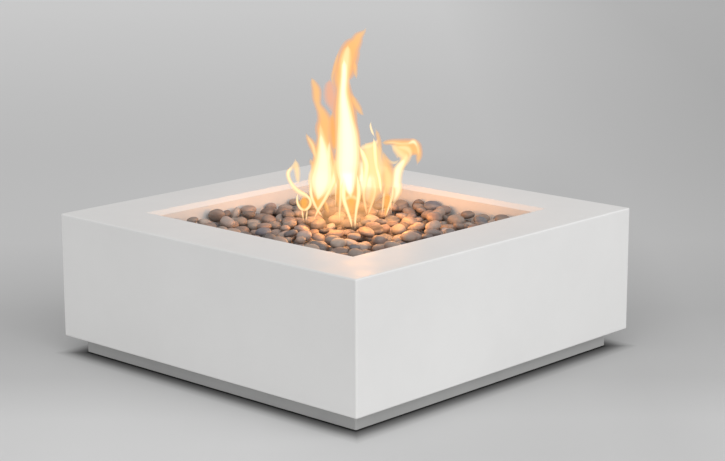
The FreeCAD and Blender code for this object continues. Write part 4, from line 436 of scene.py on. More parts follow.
def worn(cage, draw):
    """How far a worn stone's skin stands out along each direction of the cage, for a unit ball."""
    square = draw.uniform(*SQUARENESS)
    reach = (np.abs(cage) ** square).sum(1) ** (-1 / square)
    reach *= (1 + draw.uniform(-LONG_TAPER, LONG_TAPER) * cage[:, 0]
              + draw.uniform(-WIDE_TAPER, WIDE_TAPER) * cage[:, 1])
    for _ in range(WAVES):
        height = draw.uniform(*WAVE_HEIGHT)
        reach *= 1 + height * np.cos(cage @ draw.normal(0, WAVE_PACE, 3) + draw.uniform(*WAVE_START))
    for _ in range(FLATS):
        flat_side = draw.normal(0, 1, 3)
        height = cage @ (flat_side / np.linalg.norm(flat_side))
        share = np.clip((height - FLAT_FROM) / (1 - FLAT_FROM), 0, 1)
        reach *= 1 - draw.uniform(0.0, FLAT_DEPTH) * share ** 2
    return reach * min(1.0, SKIN_ROOM / reach.max())


draw = np.random.default_rng(7)
shares = np.array([share for _, share in STONE_TONES], float)
skins = []
tones = []
for place, axes, size in stones:
    skins.append(place + (cage * worn(cage, draw)[:, None] * size) @ axes.T)
    tone = np.array(STONE_TONES[draw.choice(len(shares), p=shares / shares.sum())][0])
    tones.append(tone * draw.uniform(*TONE_RANGE) * (1 + draw.uniform(-TONE_DRIFT, TONE_DRIFT, 3)))
pebble = Finish("river_pebble", (0.15, 0.12, 0.10), 0.6)
tone = pebble.node("ShaderNodeAttribute", attribute_name="stone_tone").outputs["Color"]
mottle = pebble.span(pebble.noise(70, detail=5, roughness=0.65), 0.3, 0.7)
speckle = pebble.span(pebble.noise(900, detail=2), 0.58, 0.66)
bands = pebble.span(pebble.noise(28, detail=2, place=pebble.stretched(1, 1, 5)), 0.4, 0.62)
shaded = pebble.blend(mottle, pebble.times(tone, (0.84, 0.83, 0.82)),
                      pebble.times(tone, (1.14, 1.14, 1.14)))
veined = pebble.blend(pebble.sums("MULTIPLY", bands, 0.35), shaded, (0.36, 0.33, 0.30))
pebble.colour(pebble.blend(pebble.sums("MULTIPLY", speckle, 0.45), veined, (0.09, 0.077, 0.07)))
pebble.rough(mottle, 0.5, 0.72)
pebble.bump(pebble.noise(160, detail=4), 0.0006, 0.6)
pebble.bump(speckle, 0.0002)
bed = mesh_piece("river_pebbles", np.vstack(skins), copies(cage_faces, len(cage), len(skins)), pebble)
stone_tones = bed.data.attributes.new("stone_tone", "FLOAT_COLOR", "POINT")
solid_tones = np.c_[tones, np.ones(len(tones))]
stone_tones.data.foreach_set("color", np.repeat(solid_tones, len(cage), axis=0).ravel())
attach(bed, "table")
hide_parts("pebbles")

# ---------------------------------------------------------------- flame
# Burning gas stands over the rings in one tall column with lower tongues round it: white where it is
# thick, then yellow, with orange veils and tips. It is light and glowing air, not a piece of the table.
ACROSS = Vector((math.cos(CAMERA_HEADING), -math.sin(CAMERA_HEADING), 0))
AWAY = Vector((math.sin(CAMERA_HEADING), math.cos(CAMERA_HEADING), 0))
FLAME_RANGE = -CAMERA_PLACE.dot(AWAY)
REFLECTED_GASES = ("orange", "veil")


def glowing_gas(name, glow, density):
    """Clear air that glows: the colour it reaches where it is deep, and how fast it gets there."""
    made = bpy.data.materials.new(name)
    made.use_nodes = True
    tree = made.node_tree
    tree.nodes.remove(tree.nodes["Principled BSDF"])
    shine = tree.nodes.new("ShaderNodeEmission")
    shine.inputs["Color"].default_value = (*glow, 1)
    shine.inputs["Strength"].default_value = density
    dim = tree.nodes.new("ShaderNodeVolumeAbsorption")
    dim.inputs["Color"].default_value = (0, 0, 0, 1)
    dim.inputs["Density"].default_value = density
    both = tree.nodes.new("ShaderNodeAddShader")
    tree.links.new(shine.outputs[0], both.inputs[0])
    tree.links.new(dim.outputs[0], both.inputs[1])
    tree.links.new(both.outputs[0], tree.nodes["Material Output"].inputs["Volume"])
    return made


# each gas has a colour at the edge, a colour at heart and a density; each of a tongue's nested shells
# reaches so far out, has a share of that density, and takes its colour so far on from edge to heart
GASES = {"haze": ((0.98, 0.46, 0.28), (1.00, 0.48, 0.26), 32),
         "orange": ((1.00, 0.45, 0.18), (1.16, 0.74, 0.25), 58),
         "amber": ((1.15, 0.56, 0.12), (1.10, 0.44, 0.05), 62),
         "veil": ((1.20, 0.74, 0.32), (1.40, 1.02, 0.48), 52),
         "yellow": ((1.30, 0.80, 0.32), (1.45, 1.16, 0.70), 46),
         "white": ((1.50, 1.24, 0.78), (1.80, 1.64, 1.36), 46),
         "cream": ((1.40, 1.06, 0.58), (1.60, 1.48, 1.12), 38),
         "glow": ((1.30, 1.00, 0.58), (1.45, 1.28, 0.98), 34),
         "thread": ((1.40, 0.84, 0.28), (1.75, 1.50, 1.05), 160),
         "warmth": ((1.10, 0.52, 0.20), (1.10, 0.55, 0.20), 4.5)}
SHELLS = ((1.0, 0.48, 0.0), (0.76, 0.76, 0.5), (0.48, 1.10, 1.0))
gases = {}
for gas, (edge, heart, density) in GASES.items():
    for index, (reach, share, inwards) in enumerate(SHELLS):
        gases[gas, reach] = glowing_gas(f"flame_{gas}_{index}", Vector(edge).lerp(heart, inwards),
                                        density * share)

# Every tongue is drawn on an upright sheet through the burner's axis, as a middle line with half
# widths: (column, row, half width) in steps of the sheet, with the rows counted from the top down.
SKETCH_STEP, ROW_STRETCH = 0.0003887, 1.020
AXIS_COLUMN, BED_ROW, BED_LEVEL = 518, 1376, 0.350
FOOT_LEVEL, FOOT_ROWS, FOOT_START = 0.352, 260, 110
TONGUE_SIDES, TONGUE_STEPS = 14, 5
EDGE_SPREAD, THINNEST = 1.12, 0.7
END_RINGS, END_SHARE = 4, 0.3


def smooth_line(points, steps):
    """A rounded line through given points."""
    points = np.array(points, float)
    ends = np.vstack([2 * points[0] - points[1], points, 2 * points[-1] - points[-2]])
    made = []
    for before, first, last, after in zip(ends, ends[1:], ends[2:], ends[3:]):
        for share in np.linspace(0, 1, steps, endpoint=False):
            made.append(0.5 * (2 * first + (last - before) * share
                               + (2 * before - 5 * first + 4 * last - after) * share ** 2
                               + (3 * first - before - 3 * last + after) * share ** 3))
    made.append(points[-1])
    return np.array(made)


def on_sheet(column, row, depth):
    """The place of a point of the sketch, carried along the line of sight to its depth."""
    drawn = ACROSS * (column - AXIS_COLUMN) * SKETCH_STEP
    drawn.z = BED_LEVEL + (BED_ROW - row) * SKETCH_STEP * ROW_STRETCH
    return CAMERA_PLACE + (drawn - CAMERA_PLACE) * (1 + depth / FLAME_RANGE)


def foot_depth(row):
    """How far behind the axis a point drawn on this row stands on the pebbles."""
    level = BED_LEVEL + (BED_ROW - row) * SKETCH_STEP * ROW_STRETCH
    return FLAME_RANGE * (level - FOOT_LEVEL) / (CAMERA_PLACE.z - level)


def ring_faces(rings, sides):
    """Faces of a skin through rings of points, closed at both ends."""
    faces = [(ring * sides + side, ring * sides + (side + 1) % sides,
              (ring + 1) * sides + (side + 1) % sides, (ring + 1) * sides + side)
             for ring in range(rings - 1) for side in range(sides)]
    return faces + [tuple(range(sides))[::-1], tuple(range((rings - 1) * sides, rings * sides))]


def tongue(gas, depth, points, fullness=0.8):
    """One tongue of flame as nested skins, thin outside and thick inside, so that its edge is soft.
    Its foot stands on the pebbles if it is drawn down to them."""
    line = smooth_line(points, TONGUE_STEPS)
    lowest = line[:, 1].max()
    foot = foot_depth(lowest) if lowest > BED_ROW - FOOT_START else depth
    along = np.gradient(line[:, :2], axis=0)
    along /= np.linalg.norm(along, axis=1, keepdims=True)
    taper = np.minimum(1, (np.arange(len(line)) + END_SHARE) / END_RINGS)
    line[:, 2] *= np.minimum(taper, taper[::-1])
    for reach, _, _ in SHELLS:
        skin = []
        for (column, row, half_width), (right, down) in zip(line, along):
            share = min(max(1 - (lowest - row) / FOOT_ROWS, 0), 1)
            middle_depth = depth + (foot - depth) * share
            half_width = max(half_width * EDGE_SPREAD, THINNEST) * reach
            for turn in np.linspace(0, 2 * math.pi, TONGUE_SIDES, endpoint=False):
                side = half_width * math.cos(turn)
                deep = half_width * SKETCH_STEP * fullness * math.sin(turn)
                skin.append(on_sheet(column - down * side, row + right * side, middle_depth + deep))
        mesh = bpy.data.meshes.new(f"flame_{gas}")
        mesh.from_pydata([tuple(point) for point in skin], [], ring_faces(len(line), TONGUE_SIDES))
        shape = bmesh.new()
        shape.from_mesh(mesh)
        bmesh.ops.recalc_face_normals(shape, faces=shape.faces)
        shape.to_mesh(mesh)
        shape.free()
        mesh.materials.append(gases[gas, reach])
        made = bpy.data.objects.new(mesh.name, mesh)
        made.visible_shadow = False
        made.visible_diffuse = False
        made.visible_glossy = gas in REFLECTED_GASES
        bpy.context.scene.collection.objects.link(made)


# the tall column in the middle
tongue("orange", 0.00, [(656, 64, 1), (641, 98, 12), (604, 132, 33), (585, 168, 43), (556, 205, 60),
                        (538, 250, 68), (522, 305, 69), (503, 358, 70), (484, 415, 56), (497, 480, 53),
                        (506, 560, 67), (508, 640, 76), (512, 720, 77), (526, 800, 78), (530, 900, 80),
                        (526, 1000, 86), (526, 1080, 82), (538, 1150, 62), (545, 1210, 42), (548, 1262, 20),
                        (550, 1305, 2)])
tongue("orange", -0.02, [(572, 290, 20), (578, 340, 20), (583, 385, 14), (589, 422, 1)])
tongue("orange", -0.02, [(548, 500, 14), (572, 560, 24), (600, 608, 24), (620, 640, 14), (643, 660, 1)])
tongue("orange", -0.01, [(434, 470, 10), (424, 405, 12), (440, 345, 16), (456, 280, 14), (470, 215, 2)])
tongue("haze", 0.01, [(406, 408, 6), (408, 446, 34), (410, 500, 46), (416, 552, 46), (426, 594, 32),
                      (440, 640, 18), (450, 690, 4)])
tongue("yellow", -0.02, [(532, 182, 4), (527, 225, 26), (514, 300, 40), (506, 400, 36), (499, 500, 40),
                         (504, 600, 54), (512, 700, 64), (523, 800, 74), (527, 900, 78), (524, 1000, 80),
                         (528, 1090, 76), (538, 1150, 58), (545, 1200, 38), (548, 1248, 18),
                         (549, 1292, 2)])
tongue("white", -0.03, [(503, 272, 5), (506, 330, 20), (503, 410, 22), (498, 500, 24), (503, 580, 34),
                        (510, 640, 42), (516, 700, 50), (522, 760, 60), (526, 820, 66), (528, 900, 70),
                        (525, 970, 71), (522, 1030, 65), (526, 1080, 56), (533, 1122, 45), (540, 1160, 30),
                        (545, 1194, 13), (547, 1216, 1)])
tongue("thread", 0.00, [(478, 1040, 12), (482, 1130, 15), (477, 1210, 12), (470, 1290, 9), (467, 1378, 4)])
tongue("thread", -0.03, [(504, 1060, 18), (497, 1160, 19), (500, 1225, 17), (520, 1290, 14),
                         (543, 1360, 10), (556, 1428, 4)])
tongue("thread", -0.03, [(588, 1050, 17), (600, 1150, 17), (597, 1215, 16), (584, 1290, 12), (576, 1360, 9),
                         (573, 1428, 4)])
tongue("amber", -0.03, [(547, 1150, 4), (548, 1186, 18), (549, 1226, 34), (552, 1270, 29), (557, 1318, 16),
                        (562, 1380, 5)])
tongue("yellow", -0.03, [(500, 1240, 8), (520, 1214, 16), (548, 1204, 20), (578, 1214, 16), (598, 1240, 8)])

# the thin bright gas between the tongues, low down
tongue("glow", 0.10, [(436, 940, 16), (434, 975, 80), (432, 1020, 140), (430, 1064, 158), (426, 1104, 138),
                      (418, 1140, 96), (410, 1176, 48), (404, 1206, 6)], 0.3)
tongue("glow", 0.04, [(622, 940, 12), (640, 985, 42), (652, 1040, 60), (660, 1095, 62), (660, 1150, 46),
                      (658, 1205, 26), (656, 1250, 4)], 0.5)

# the faint warm gas over the pebbles, between the feet of the tongues
tongue("warmth", 0.02, [(540, 1080, 70), (535, 1160, 280), (550, 1250, 370), (560, 1320, 330),
                        (575, 1385, 180), (580, 1425, 20)], 0.4)

# the tongue on its left, with its two spurs
tongue("orange", 0.03, [(282, 394, 1), (297, 432, 20), (317, 484, 33), (320, 540, 32), (328, 585, 26),
                        (352, 632, 36), (371, 690, 52), (367, 745, 58), (370, 805, 52), (366, 880, 64),
                        (368, 950, 76), (366, 1010, 78), (358, 1070, 78), (348, 1130, 68), (338, 1180, 50),
                        (330, 1228, 30), (326, 1270, 14), (325, 1300, 2)])
tongue("amber", 0.04, [(424, 620, 10), (424, 690, 24), (428, 770, 28), (433, 850, 22), (437, 905, 8)])
tongue("yellow", 0.02, [(338, 690, 3), (347, 760, 20), (356, 830, 34), (363, 900, 54), (362, 970, 68),
                        (358, 1040, 82), (350, 1100, 88), (342, 1155, 74), (334, 1200, 46), (328, 1242, 20),
                        (325, 1276, 2)])
tongue("cream", 0.00, [(343, 758, 3), (349, 820, 20), (358, 890, 38), (361, 960, 54), (356, 1030, 70),
                       (349, 1085, 80), (342, 1130, 70), (334, 1172, 46), (325, 1208, 20), (319, 1236, 2)])
tongue("cream", 0.01, [(404, 818, 2), (401, 862, 12), (396, 920, 18), (394, 980, 20)])
tongue("orange", 0.03, [(242, 763, 1), (256, 800, 15), (279, 838, 26), (297, 885, 24), (305, 940, 20)])
tongue("yellow", 0.02, [(250, 782, 2), (266, 815, 9), (289, 855, 13), (303, 905, 14), (312, 960, 14)])
tongue("orange", 0.03, [(268, 935, 3), (280, 968, 15), (296, 1005, 20), (300, 1050, 16)])
tongue("thread", 0.02, [(440, 950, 14), (446, 1010, 22), (436, 1070, 21), (414, 1130, 17), (372, 1215, 14),
                        (326, 1290, 11), (288, 1368, 4)])
tongue("thread", 0.02, [(276, 1090, 12), (276, 1185, 13), (298, 1250, 12), (328, 1305, 9), (362, 1348, 3)])
tongue("amber", 0.03, [(366, 1216, 2), (377, 1262, 16), (388, 1296, 13), (394, 1324, 2)])
tongue("thread", 0.02, [(372, 1222, 4), (384, 1268, 7), (394, 1305, 4)])
tongue("amber", 0.02, [(322, 1170, 16), (318, 1222, 32), (322, 1262, 22), (330, 1300, 4)])
tongue("thread", 0.04, [(454, 1050, 9), (446, 1130, 8), (443, 1210, 6), (444, 1335, 2)])
tongue("amber", 0.03, [(460, 1090, 10), (462, 1160, 22), (459, 1220, 18), (456, 1290, 5)])

# the low one at the far left, and the loop at its foot
tongue("veil", 0.06, [(170, 936, 3), (175, 985, 22), (183, 1035, 22), (187, 1085, 16), (190, 1122, 4)])
tongue("yellow", 0.06, [(166, 962, 3), (153, 998, 13), (124, 1036, 17), (126, 1078, 16), (149, 1122, 16),
                        (180, 1160, 18), (222, 1188, 18), (262, 1222, 12)])
tongue("thread", 0.05, [(156, 990, 4), (122, 1036, 10), (130, 1085, 10), (158, 1132, 10), (196, 1166, 10),
                        (240, 1190, 11), (270, 1226, 11), (266, 1262, 12), (240, 1288, 12), (208, 1284, 11),
                        (186, 1252, 10), (181, 1214, 8), (186, 1176, 4)], 1.0)
tongue("amber", 0.06, [(222, 1186, 10), (229, 1234, 34), (228, 1272, 26), (230, 1310, 4)])
tongue("thread", 0.06, [(212, 1280, 8), (218, 1330, 7), (226, 1378, 3)])
tongue("thread", 0.06, [(252, 1275, 8), (244, 1330, 7), (238, 1380, 3)])

# the veils on its right, and the bright lines in them
tongue("veil", 0.02, [(640, 836, 8), (668, 868, 58), (685, 910, 74), (690, 960, 82), (700, 1010, 92),
                      (706, 1060, 92), (704, 1110, 84), (692, 1165, 60), (678, 1225, 30),
                      (668, 1280, 4)], 0.5)
tongue("orange", 0.03, [(768, 890, 5), (772, 930, 20), (786, 975, 34), (800, 1020, 44), (800, 1070, 46),
                        (796, 1120, 38), (786, 1170, 24), (780, 1215, 4)], 0.6)
tongue("veil", 0.05, [(776, 905, 4), (800, 958, 12), (842, 974, 12), (880, 950, 10)])
tongue("veil", 0.01, [(772, 975, 6), (786, 1020, 24), (800, 1070, 38), (802, 1120, 34), (798, 1165, 20),
                      (794, 1200, 4)], 0.4)
tongue("yellow", 0.01, [(600, 880, 14), (636, 868, 20), (676, 862, 20), (718, 838, 16), (734, 806, 6)])
tongue("thread", 0.01, [(686, 686, 1), (681, 725, 7), (692, 765, 8), (712, 806, 3)])
tongue("orange", 0.03, [(712, 735, 3), (728, 782, 15), (740, 840, 18), (744, 900, 16), (742, 960, 10)])
tongue("thread", 0.00, [(596, 850, 14), (632, 920, 19), (653, 985, 21), (650, 1055, 20), (640, 1120, 16),
                        (634, 1190, 12), (645, 1270, 9), (658, 1335, 4)])
tongue("thread", 0.01, [(700, 800, 4), (708, 855, 15), (712, 930, 17), (720, 1000, 15), (738, 1070, 14),
                       (748, 1140, 11), (754, 1195, 4)])
tongue("cream", 0.00, [(606, 930, 4), (611, 985, 16), (618, 1060, 24), (622, 1120, 20), (618, 1175, 10),
                       (612, 1220, 1)])
tongue("yellow", 0.01, [(684, 1030, 12), (704, 1110, 20), (704, 1180, 17), (686, 1250, 13), (661, 1336, 5)])
tongue("thread", 0.02, [(704, 1090, 8), (712, 1160, 9), (700, 1220, 9), (678, 1285, 8), (658, 1338, 3)])

# the tongue at the right and the curl that is thrown off its top
tongue("orange", 0.05, [(752, 838, 4), (782, 838, 17), (822, 834, 22), (862, 840, 30), (900, 856, 48),
                        (936, 870, 58), (966, 874, 58), (988, 888, 50), (1008, 915, 28), (1005, 950, 20),
                        (993, 1000, 1)])
tongue("veil", 0.05, [(812, 850, 10), (852, 872, 34), (890, 896, 50), (914, 926, 46), (908, 966, 32),
                      (888, 1000, 20), (870, 1040, 4)], 0.7)
tongue("yellow", 0.04, [(775, 840, 7), (830, 838, 9), (890, 846, 12), (946, 842, 16), (970, 832, 20),
                        (990, 850, 17), (1003, 890, 12), (1004, 930, 6)])
tongue("cream", 0.03, [(930, 850, 3), (950, 838, 10), (972, 834, 14), (988, 850, 8), (996, 874, 3)])
tongue("yellow", 0.03, [(850, 868, 6), (890, 870, 18), (930, 880, 26), (950, 910, 18), (944, 950, 8)], 0.6)
tongue("cream", 0.03, [(914, 944, 5), (898, 970, 18), (872, 1010, 28), (858, 1060, 32), (856, 1110, 32),
                       (866, 1150, 26), (858, 1192, 16), (840, 1225, 8), (832, 1250, 1)])
tongue("yellow", 0.04, [(928, 905, 10), (914, 950, 18), (884, 1000, 32), (860, 1050, 38), (854, 1110, 38),
                        (862, 1160, 34), (849, 1210, 20), (838, 1250, 8), (832, 1280, 1)])
tongue("thread", 0.04, [(834, 1110, 11), (828, 1200, 11), (806, 1270, 9), (774, 1362, 3)])
tongue("thread", 0.05, [(816, 1170, 8), (815, 1240, 7), (826, 1335, 3)])
tongue("thread", 0.05, [(790, 1100, 9), (774, 1185, 10), (765, 1260, 8), (754, 1345, 3)])
tongue("amber", 0.04, [(796, 1160, 8), (794, 1208, 26), (790, 1262, 24), (784, 1320, 10), (780, 1350, 2)])

# what the flame throws on the walls and, low down between its feet, on the pebbles
FIRE_COLOUR, FIRE_RADIUS = (1.0, 0.40, 0.085), 0.02
COLUMN_LIGHTS = (((0.03, -0.03, 0.60), 0.7), ((0.02, -0.02, 0.46), 0.5))
FOOT_MIDDLE = Vector((0.03, -0.035, 0.392))
FOOT_RING, FOOT_LIGHTS, FOOT_POWER = 0.12, 8, 0.32
fire_lights = list(COLUMN_LIGHTS)
for turn in np.linspace(0, 2 * math.pi, FOOT_LIGHTS, endpoint=False):
    outwards = Vector((math.cos(turn), math.sin(turn), 0))
    fire_lights.append((FOOT_MIDDLE + outwards * FOOT_RING, FOOT_POWER))
for place, power in fire_lights:
    fire = lamp("fire_light", "POINT", power, FIRE_COLOUR)
    fire.location = place
    fire.data.shadow_soft_size = FIRE_RADIUS


# ---------------------------------------------------------------- tray and inner frame
# A galvanised tray closes the bottom. Square tubes, welded to foot plates and painted satin black,
# stand on it and carry the top and the burner pan.
def rolled_sheet(name, colour, roughness, spangle, shade):
    """Zinc-coated sheet, whose coating has set in large bright crystals."""
    made = Finish(name, colour, roughness, metallic=1.0)
    tone = made.node("ShaderNodeSeparateColor", {"Color": made.cells(spangle, "Color")}).outputs[0]
    made.colour(made.blend(tone, shade, colour))
    made.rough(tone, roughness - 0.08, roughness + 0.12)
    made.bump(made.noise(40), 0.0002, 0.4)
    return made


dress(rolled_sheet("galvanised_sheet", (0.62, 0.63, 0.64), 0.42, 110, (0.40, 0.41, 0.43)),
      "base_tray", "heat_shield")

frame_paint = Finish("frame_paint", (0.022, 0.022, 0.024), 0.42)
frame_paint.two_tone(frame_paint.noise(9, detail=4), (0.018, 0.018, 0.020), (0.034, 0.034, 0.036), low=0.4)
frame_paint.rough(frame_paint.noise(35), 0.36, 0.55)
frame_paint.bump(frame_paint.noise(650, detail=2), 0.00012, 0.7)
dress(frame_paint, "corner_post_front_left", "corner_post_front_right", "corner_post_rear_left",
      "corner_post_rear_right", "side_rail_left", "side_rail_right", "cross_bearer_front",
      "cross_bearer_rear", "door_magnet")

zinc = Finish("zinc_screw", (0.63, 0.63, 0.60), 0.34, metallic=1.0)
zinc.two_tone(zinc.noise(90), (0.50, 0.50, 0.46), (0.70, 0.70, 0.68))
zinc.rough(zinc.noise(240), 0.26, 0.46)
zinc.bump(zinc.noise(900), 0.00005)
dress(zinc, "tray_screws", "post_bolts", "rail_bolts", "shield_screws", "door_strike")


# ---------------------------------------------------------------- burner
# A folded stainless pan holds two pierced steel rings on a brass nipple. The steel has gone straw and
# blue round the flame; the lock nut, the mixer's orifice and the valve are turned from brass bar.
def brushed(name, colour, roughness, grain=(1, 1, 60), tint=0.85):
    """Bare steel with a fine grain that runs one way."""
    made = Finish(name, colour, roughness, metallic=1.0)
    lines = made.noise(55, detail=5, roughness=0.7, place=made.stretched(*grain))
    made.colour(made.blend(made.span(lines, 0.3, 0.7), [part * tint for part in colour], colour))
    made.rough(lines, roughness - 0.07, roughness + 0.12)
    made.bump(lines, 0.00004, 0.6)
    made.bump(made.noise(7, detail=2), 0.0003, 0.3)
    return made


stainless = brushed("brushed_stainless", (0.60, 0.60, 0.595), 0.30)
dress(stainless, "burner_pan", "control_niche", "control_panel", "door_frame", "door_pull",
      "vent_grille_rear", "vent_grille_side_front", "vent_grille_side_back")

burner_steel = Finish("burner_steel", (0.45, 0.40, 0.34), 0.42, metallic=1.0)
heat = burner_steel.noise(14)
burner_steel.colour(burner_steel.ramp(heat, [(0.30, (0.50, 0.47, 0.43)), (0.48, (0.52, 0.40, 0.24)),
                                             (0.58, (0.30, 0.19, 0.20)), (0.70, (0.17, 0.20, 0.30))]))
burner_steel.rough(burner_steel.noise(120), 0.34, 0.58)
burner_steel.bump(burner_steel.noise(600), 0.0001)
dress(burner_steel, "ring_burner", "air_mixer", "electrode_bracket", "electrode_rod", "thermocouple_probe")

brass = Finish("brass_fitting", (0.72, 0.53, 0.24), 0.28, metallic=1.0)
brass.two_tone(brass.noise(45, detail=4), (0.55, 0.38, 0.16), (0.78, 0.60, 0.30))
brass.rough(brass.noise(160, detail=4), 0.20, 0.42)
brass.bump(brass.noise(700, detail=2), 0.00004)
dress(brass, "burner_nipple", "hub_lock_nut", "gas_orifice", "gas_valve", "valve_shaft", "inlet_nut",
      "hose_nuts", "gas_inlet_fitting")

ceramic = Finish("white_ceramic", (0.78, 0.76, 0.71), 0.22)
ceramic.two_tone(ceramic.noise(60, detail=4), (0.80, 0.78, 0.73), (0.42, 0.36, 0.29), low=0.5, high=0.75)
ceramic.bump(ceramic.noise(300), 0.00008)
dress(ceramic, "electrode_insulator")

# ---------------------------------------------------------------- stainless screws
# Countersunk stainless screws with a crossed recess hold the vents, the door frame and the control
# panel. Their heads are pressed and their threads rolled.
HEAD_DEPTH, SCREW_THREAD, SCREW_PITCH, TIP_SHARE = 0.0022, 0.00035, 0.0009, 0.35
SCREW_SIDES, PITCH_STEPS = 24, 6
RIM_DEPTH, EDGE_DEPTH, EDGE_INSET = 0.0004, 0.0001, 0.0002
CROSS_REACH, CROSS_WIDTH, CROSS_DEPTH, CROSS_TAPER = 0.0023, 0.00045, 0.0012, 0.6


def thread_rings(radius, depth, pitch, low, high, sides):
    """Rings of a rod with a thread wound on it, from one height to the other."""
    rings = []
    step = pitch / PITCH_STEPS
    for level in np.arange(low, high + step / 2, step):
        turns = np.arange(sides) / sides
        reach = radius - depth * np.abs(2 * ((level / pitch + turns) % 1) - 1)
        rings.append(np.c_[reach * np.cos(2 * math.pi * turns), reach * np.sin(2 * math.pi * turns),
                           np.full(sides, level)])
    return rings


def plain_ring(radius, level, sides):
    """A ring of points round the axis, at one height."""
    turns = np.arange(sides) / sides * 2 * math.pi
    return np.c_[radius * np.cos(turns), radius * np.sin(turns), np.full(sides, level)]


def screw_shape(radius, head_radius, length):
    """A screw with its head's face at level 0 and its thread below."""
    sides = SCREW_SIDES
    rings = [plain_ring(radius * TIP_SHARE, -length, sides)]
    rings += thread_rings(radius, SCREW_THREAD, SCREW_PITCH, -length + radius, -HEAD_DEPTH, sides)
    rings += [plain_ring(head_radius, -RIM_DEPTH, sides), plain_ring(head_radius, -EDGE_DEPTH, sides),
              plain_ring(head_radius - EDGE_INSET, 0, sides)]
    points = [Vector(point) for point in np.vstack(rings)]
    faces = ring_faces(len(rings), sides)[:-1]
    edge = list(range(len(points) - sides, len(points)))
    near, far = CROSS_WIDTH, CROSS_REACH
    cross = [(far, -near), (far, near), (near, near), (near, far), (-near, far), (-near, near),
             (-far, near), (-far, -near), (-near, -near), (-near, -far), (near, -far), (near, -near)]
    mouth = list(range(len(points), len(points) + len(cross)))
    points += [Vector((x, y, 0)) for x, y in cross]
    pit = list(range(len(points), len(points) + len(cross)))
    points += [Vector((x * CROSS_TAPER, y * CROSS_TAPER, -CROSS_DEPTH)) for x, y in cross]
    outline = edge + mouth
    faces += [tuple(outline[corner] for corner in face) for face in
              tessellate_polygon([[points[index] for index in edge], [points[index] for index in mouth]])]
    around = list(zip(range(len(cross)), list(range(1, len(cross))) + [0]))
    faces += [(mouth[first], mouth[last], pit[last], pit[first]) for first, last in around]
    faces.append(tuple(pit))
    return np.array([tuple(point) for point in points]), faces


def moved_on(faces, count):
    """The same faces, with their points counted from further on."""
    return [tuple(corner + count for corner in face) for face in faces]


def screw_set(name, finish):
    """Dresses every screw of a node, whose heads face out of the side that they are in."""
    points, faces = [], []
    for solid in islands(name):
        low, high = solid.min(0), solid.max(0)
        middle = (low + high) / 2
        way = int(np.argmax(np.abs(middle)))
        outwards = np.eye(3)[way] * np.sign(middle[way])
        across = np.delete(high - low, way).max() / 2
        inner = solid[(solid - middle) @ outwards < 0]
        shank_radius = np.linalg.norm(np.delete(inner - middle, way, axis=1), axis=1).max()
        shape, shape_faces = screw_shape(shank_radius, across, (high - low)[way])
        side = np.eye(3)[(way + 1) % 3]
        axes = np.array([side, np.cross(outwards, side), outwards])
        faces += moved_on(shape_faces, len(points))
        points += list(middle + outwards * (high - low)[way] / 2 + shape @ axes)
    made = mesh_piece(name + "_cross_head", points, faces, finish, smooth=False)
    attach(made, "table")
    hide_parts(name)


screw_steel = Finish("stainless_screw", (0.62, 0.62, 0.61), 0.24, metallic=1.0)
screw_steel.two_tone(screw_steel.noise(300), (0.50, 0.50, 0.49), (0.68, 0.68, 0.67))
screw_steel.rough(screw_steel.noise(500), 0.18, 0.36)
screw_steel.bump(screw_steel.noise(1500), 0.00003)
for name in ("vent_screws", "frame_screws", "panel_screws"):
    screw_set(name, screw_steel)
dress(screw_steel, "door_pins")

# ---------------------------------------------------------------- vents
# Three stainless vent plates let air in and gas out. Each slot was cut on three sides and the tongue of
# steel folded inwards, so that nothing can be pushed straight through.
FOLD_STEPS, FOLD_REACH, FOLD_THICK, FOLD_SPAN = 6, 0.0085, 0.0009, 0.95
END_GAP = 0.0004


def folded_blades(name, body, finish, slots, across, outwards, gap, width):
    """Curved tongues of sheet behind a row of slots, each joined to its slot's edge."""
    across, outwards = np.array(across, float), np.array(outwards, float)
    along = np.cross(across, outwards)
    turns = np.linspace(0, math.pi / 2, FOLD_STEPS)
    face_line = [(math.cos(turn) * gap * FOLD_SPAN - gap / 2, -math.sin(turn) * FOLD_REACH)
                 for turn in turns]
    back_line = [(side - FOLD_THICK * math.cos(turn), depth - FOLD_THICK * math.sin(turn))
                 for (side, depth), turn in zip(face_line, turns)]
    sheet = face_line + back_line[::-1]
    points, faces = [], []
    for slot_place in slots:
        faces += moved_on(ring_faces(2, len(sheet)), len(points))
        for end in (-width / 2, width / 2):
            points += [np.array(slot_place) + across * side + outwards * depth + along * end
                       for side, depth in sheet]
    made = mesh_piece(name, points, faces, finish, smooth=False)
    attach(made, body)


VENT_SLOTS, VENT_SLOT, VENT_SLOT_HEIGHT, VENT_PITCH = 8, 0.008, 0.060, 0.014
VENT_SHEET, BLADE_INSET = 0.002, 0.45
VENTS = (("vent_grille_rear", (1, 0, 0), (0, 1, 0)), ("vent_grille_side_front", (0, 1, 0), (1, 0, 0)),
         ("vent_grille_side_back", (0, 1, 0), (1, 0, 0)))
for name, across, outwards in VENTS:
    low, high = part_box(name)
    middle = (low + high) / 2 - Vector(outwards) * VENT_SHEET * BLADE_INSET
    places = [middle + Vector(across) * (index - (VENT_SLOTS - 1) / 2) * VENT_PITCH
              for index in range(VENT_SLOTS)]
    folded_blades(name + "_blades", "table", stainless, places, across, outwards,
                  VENT_SLOT, VENT_SLOT_HEIGHT - END_GAP)

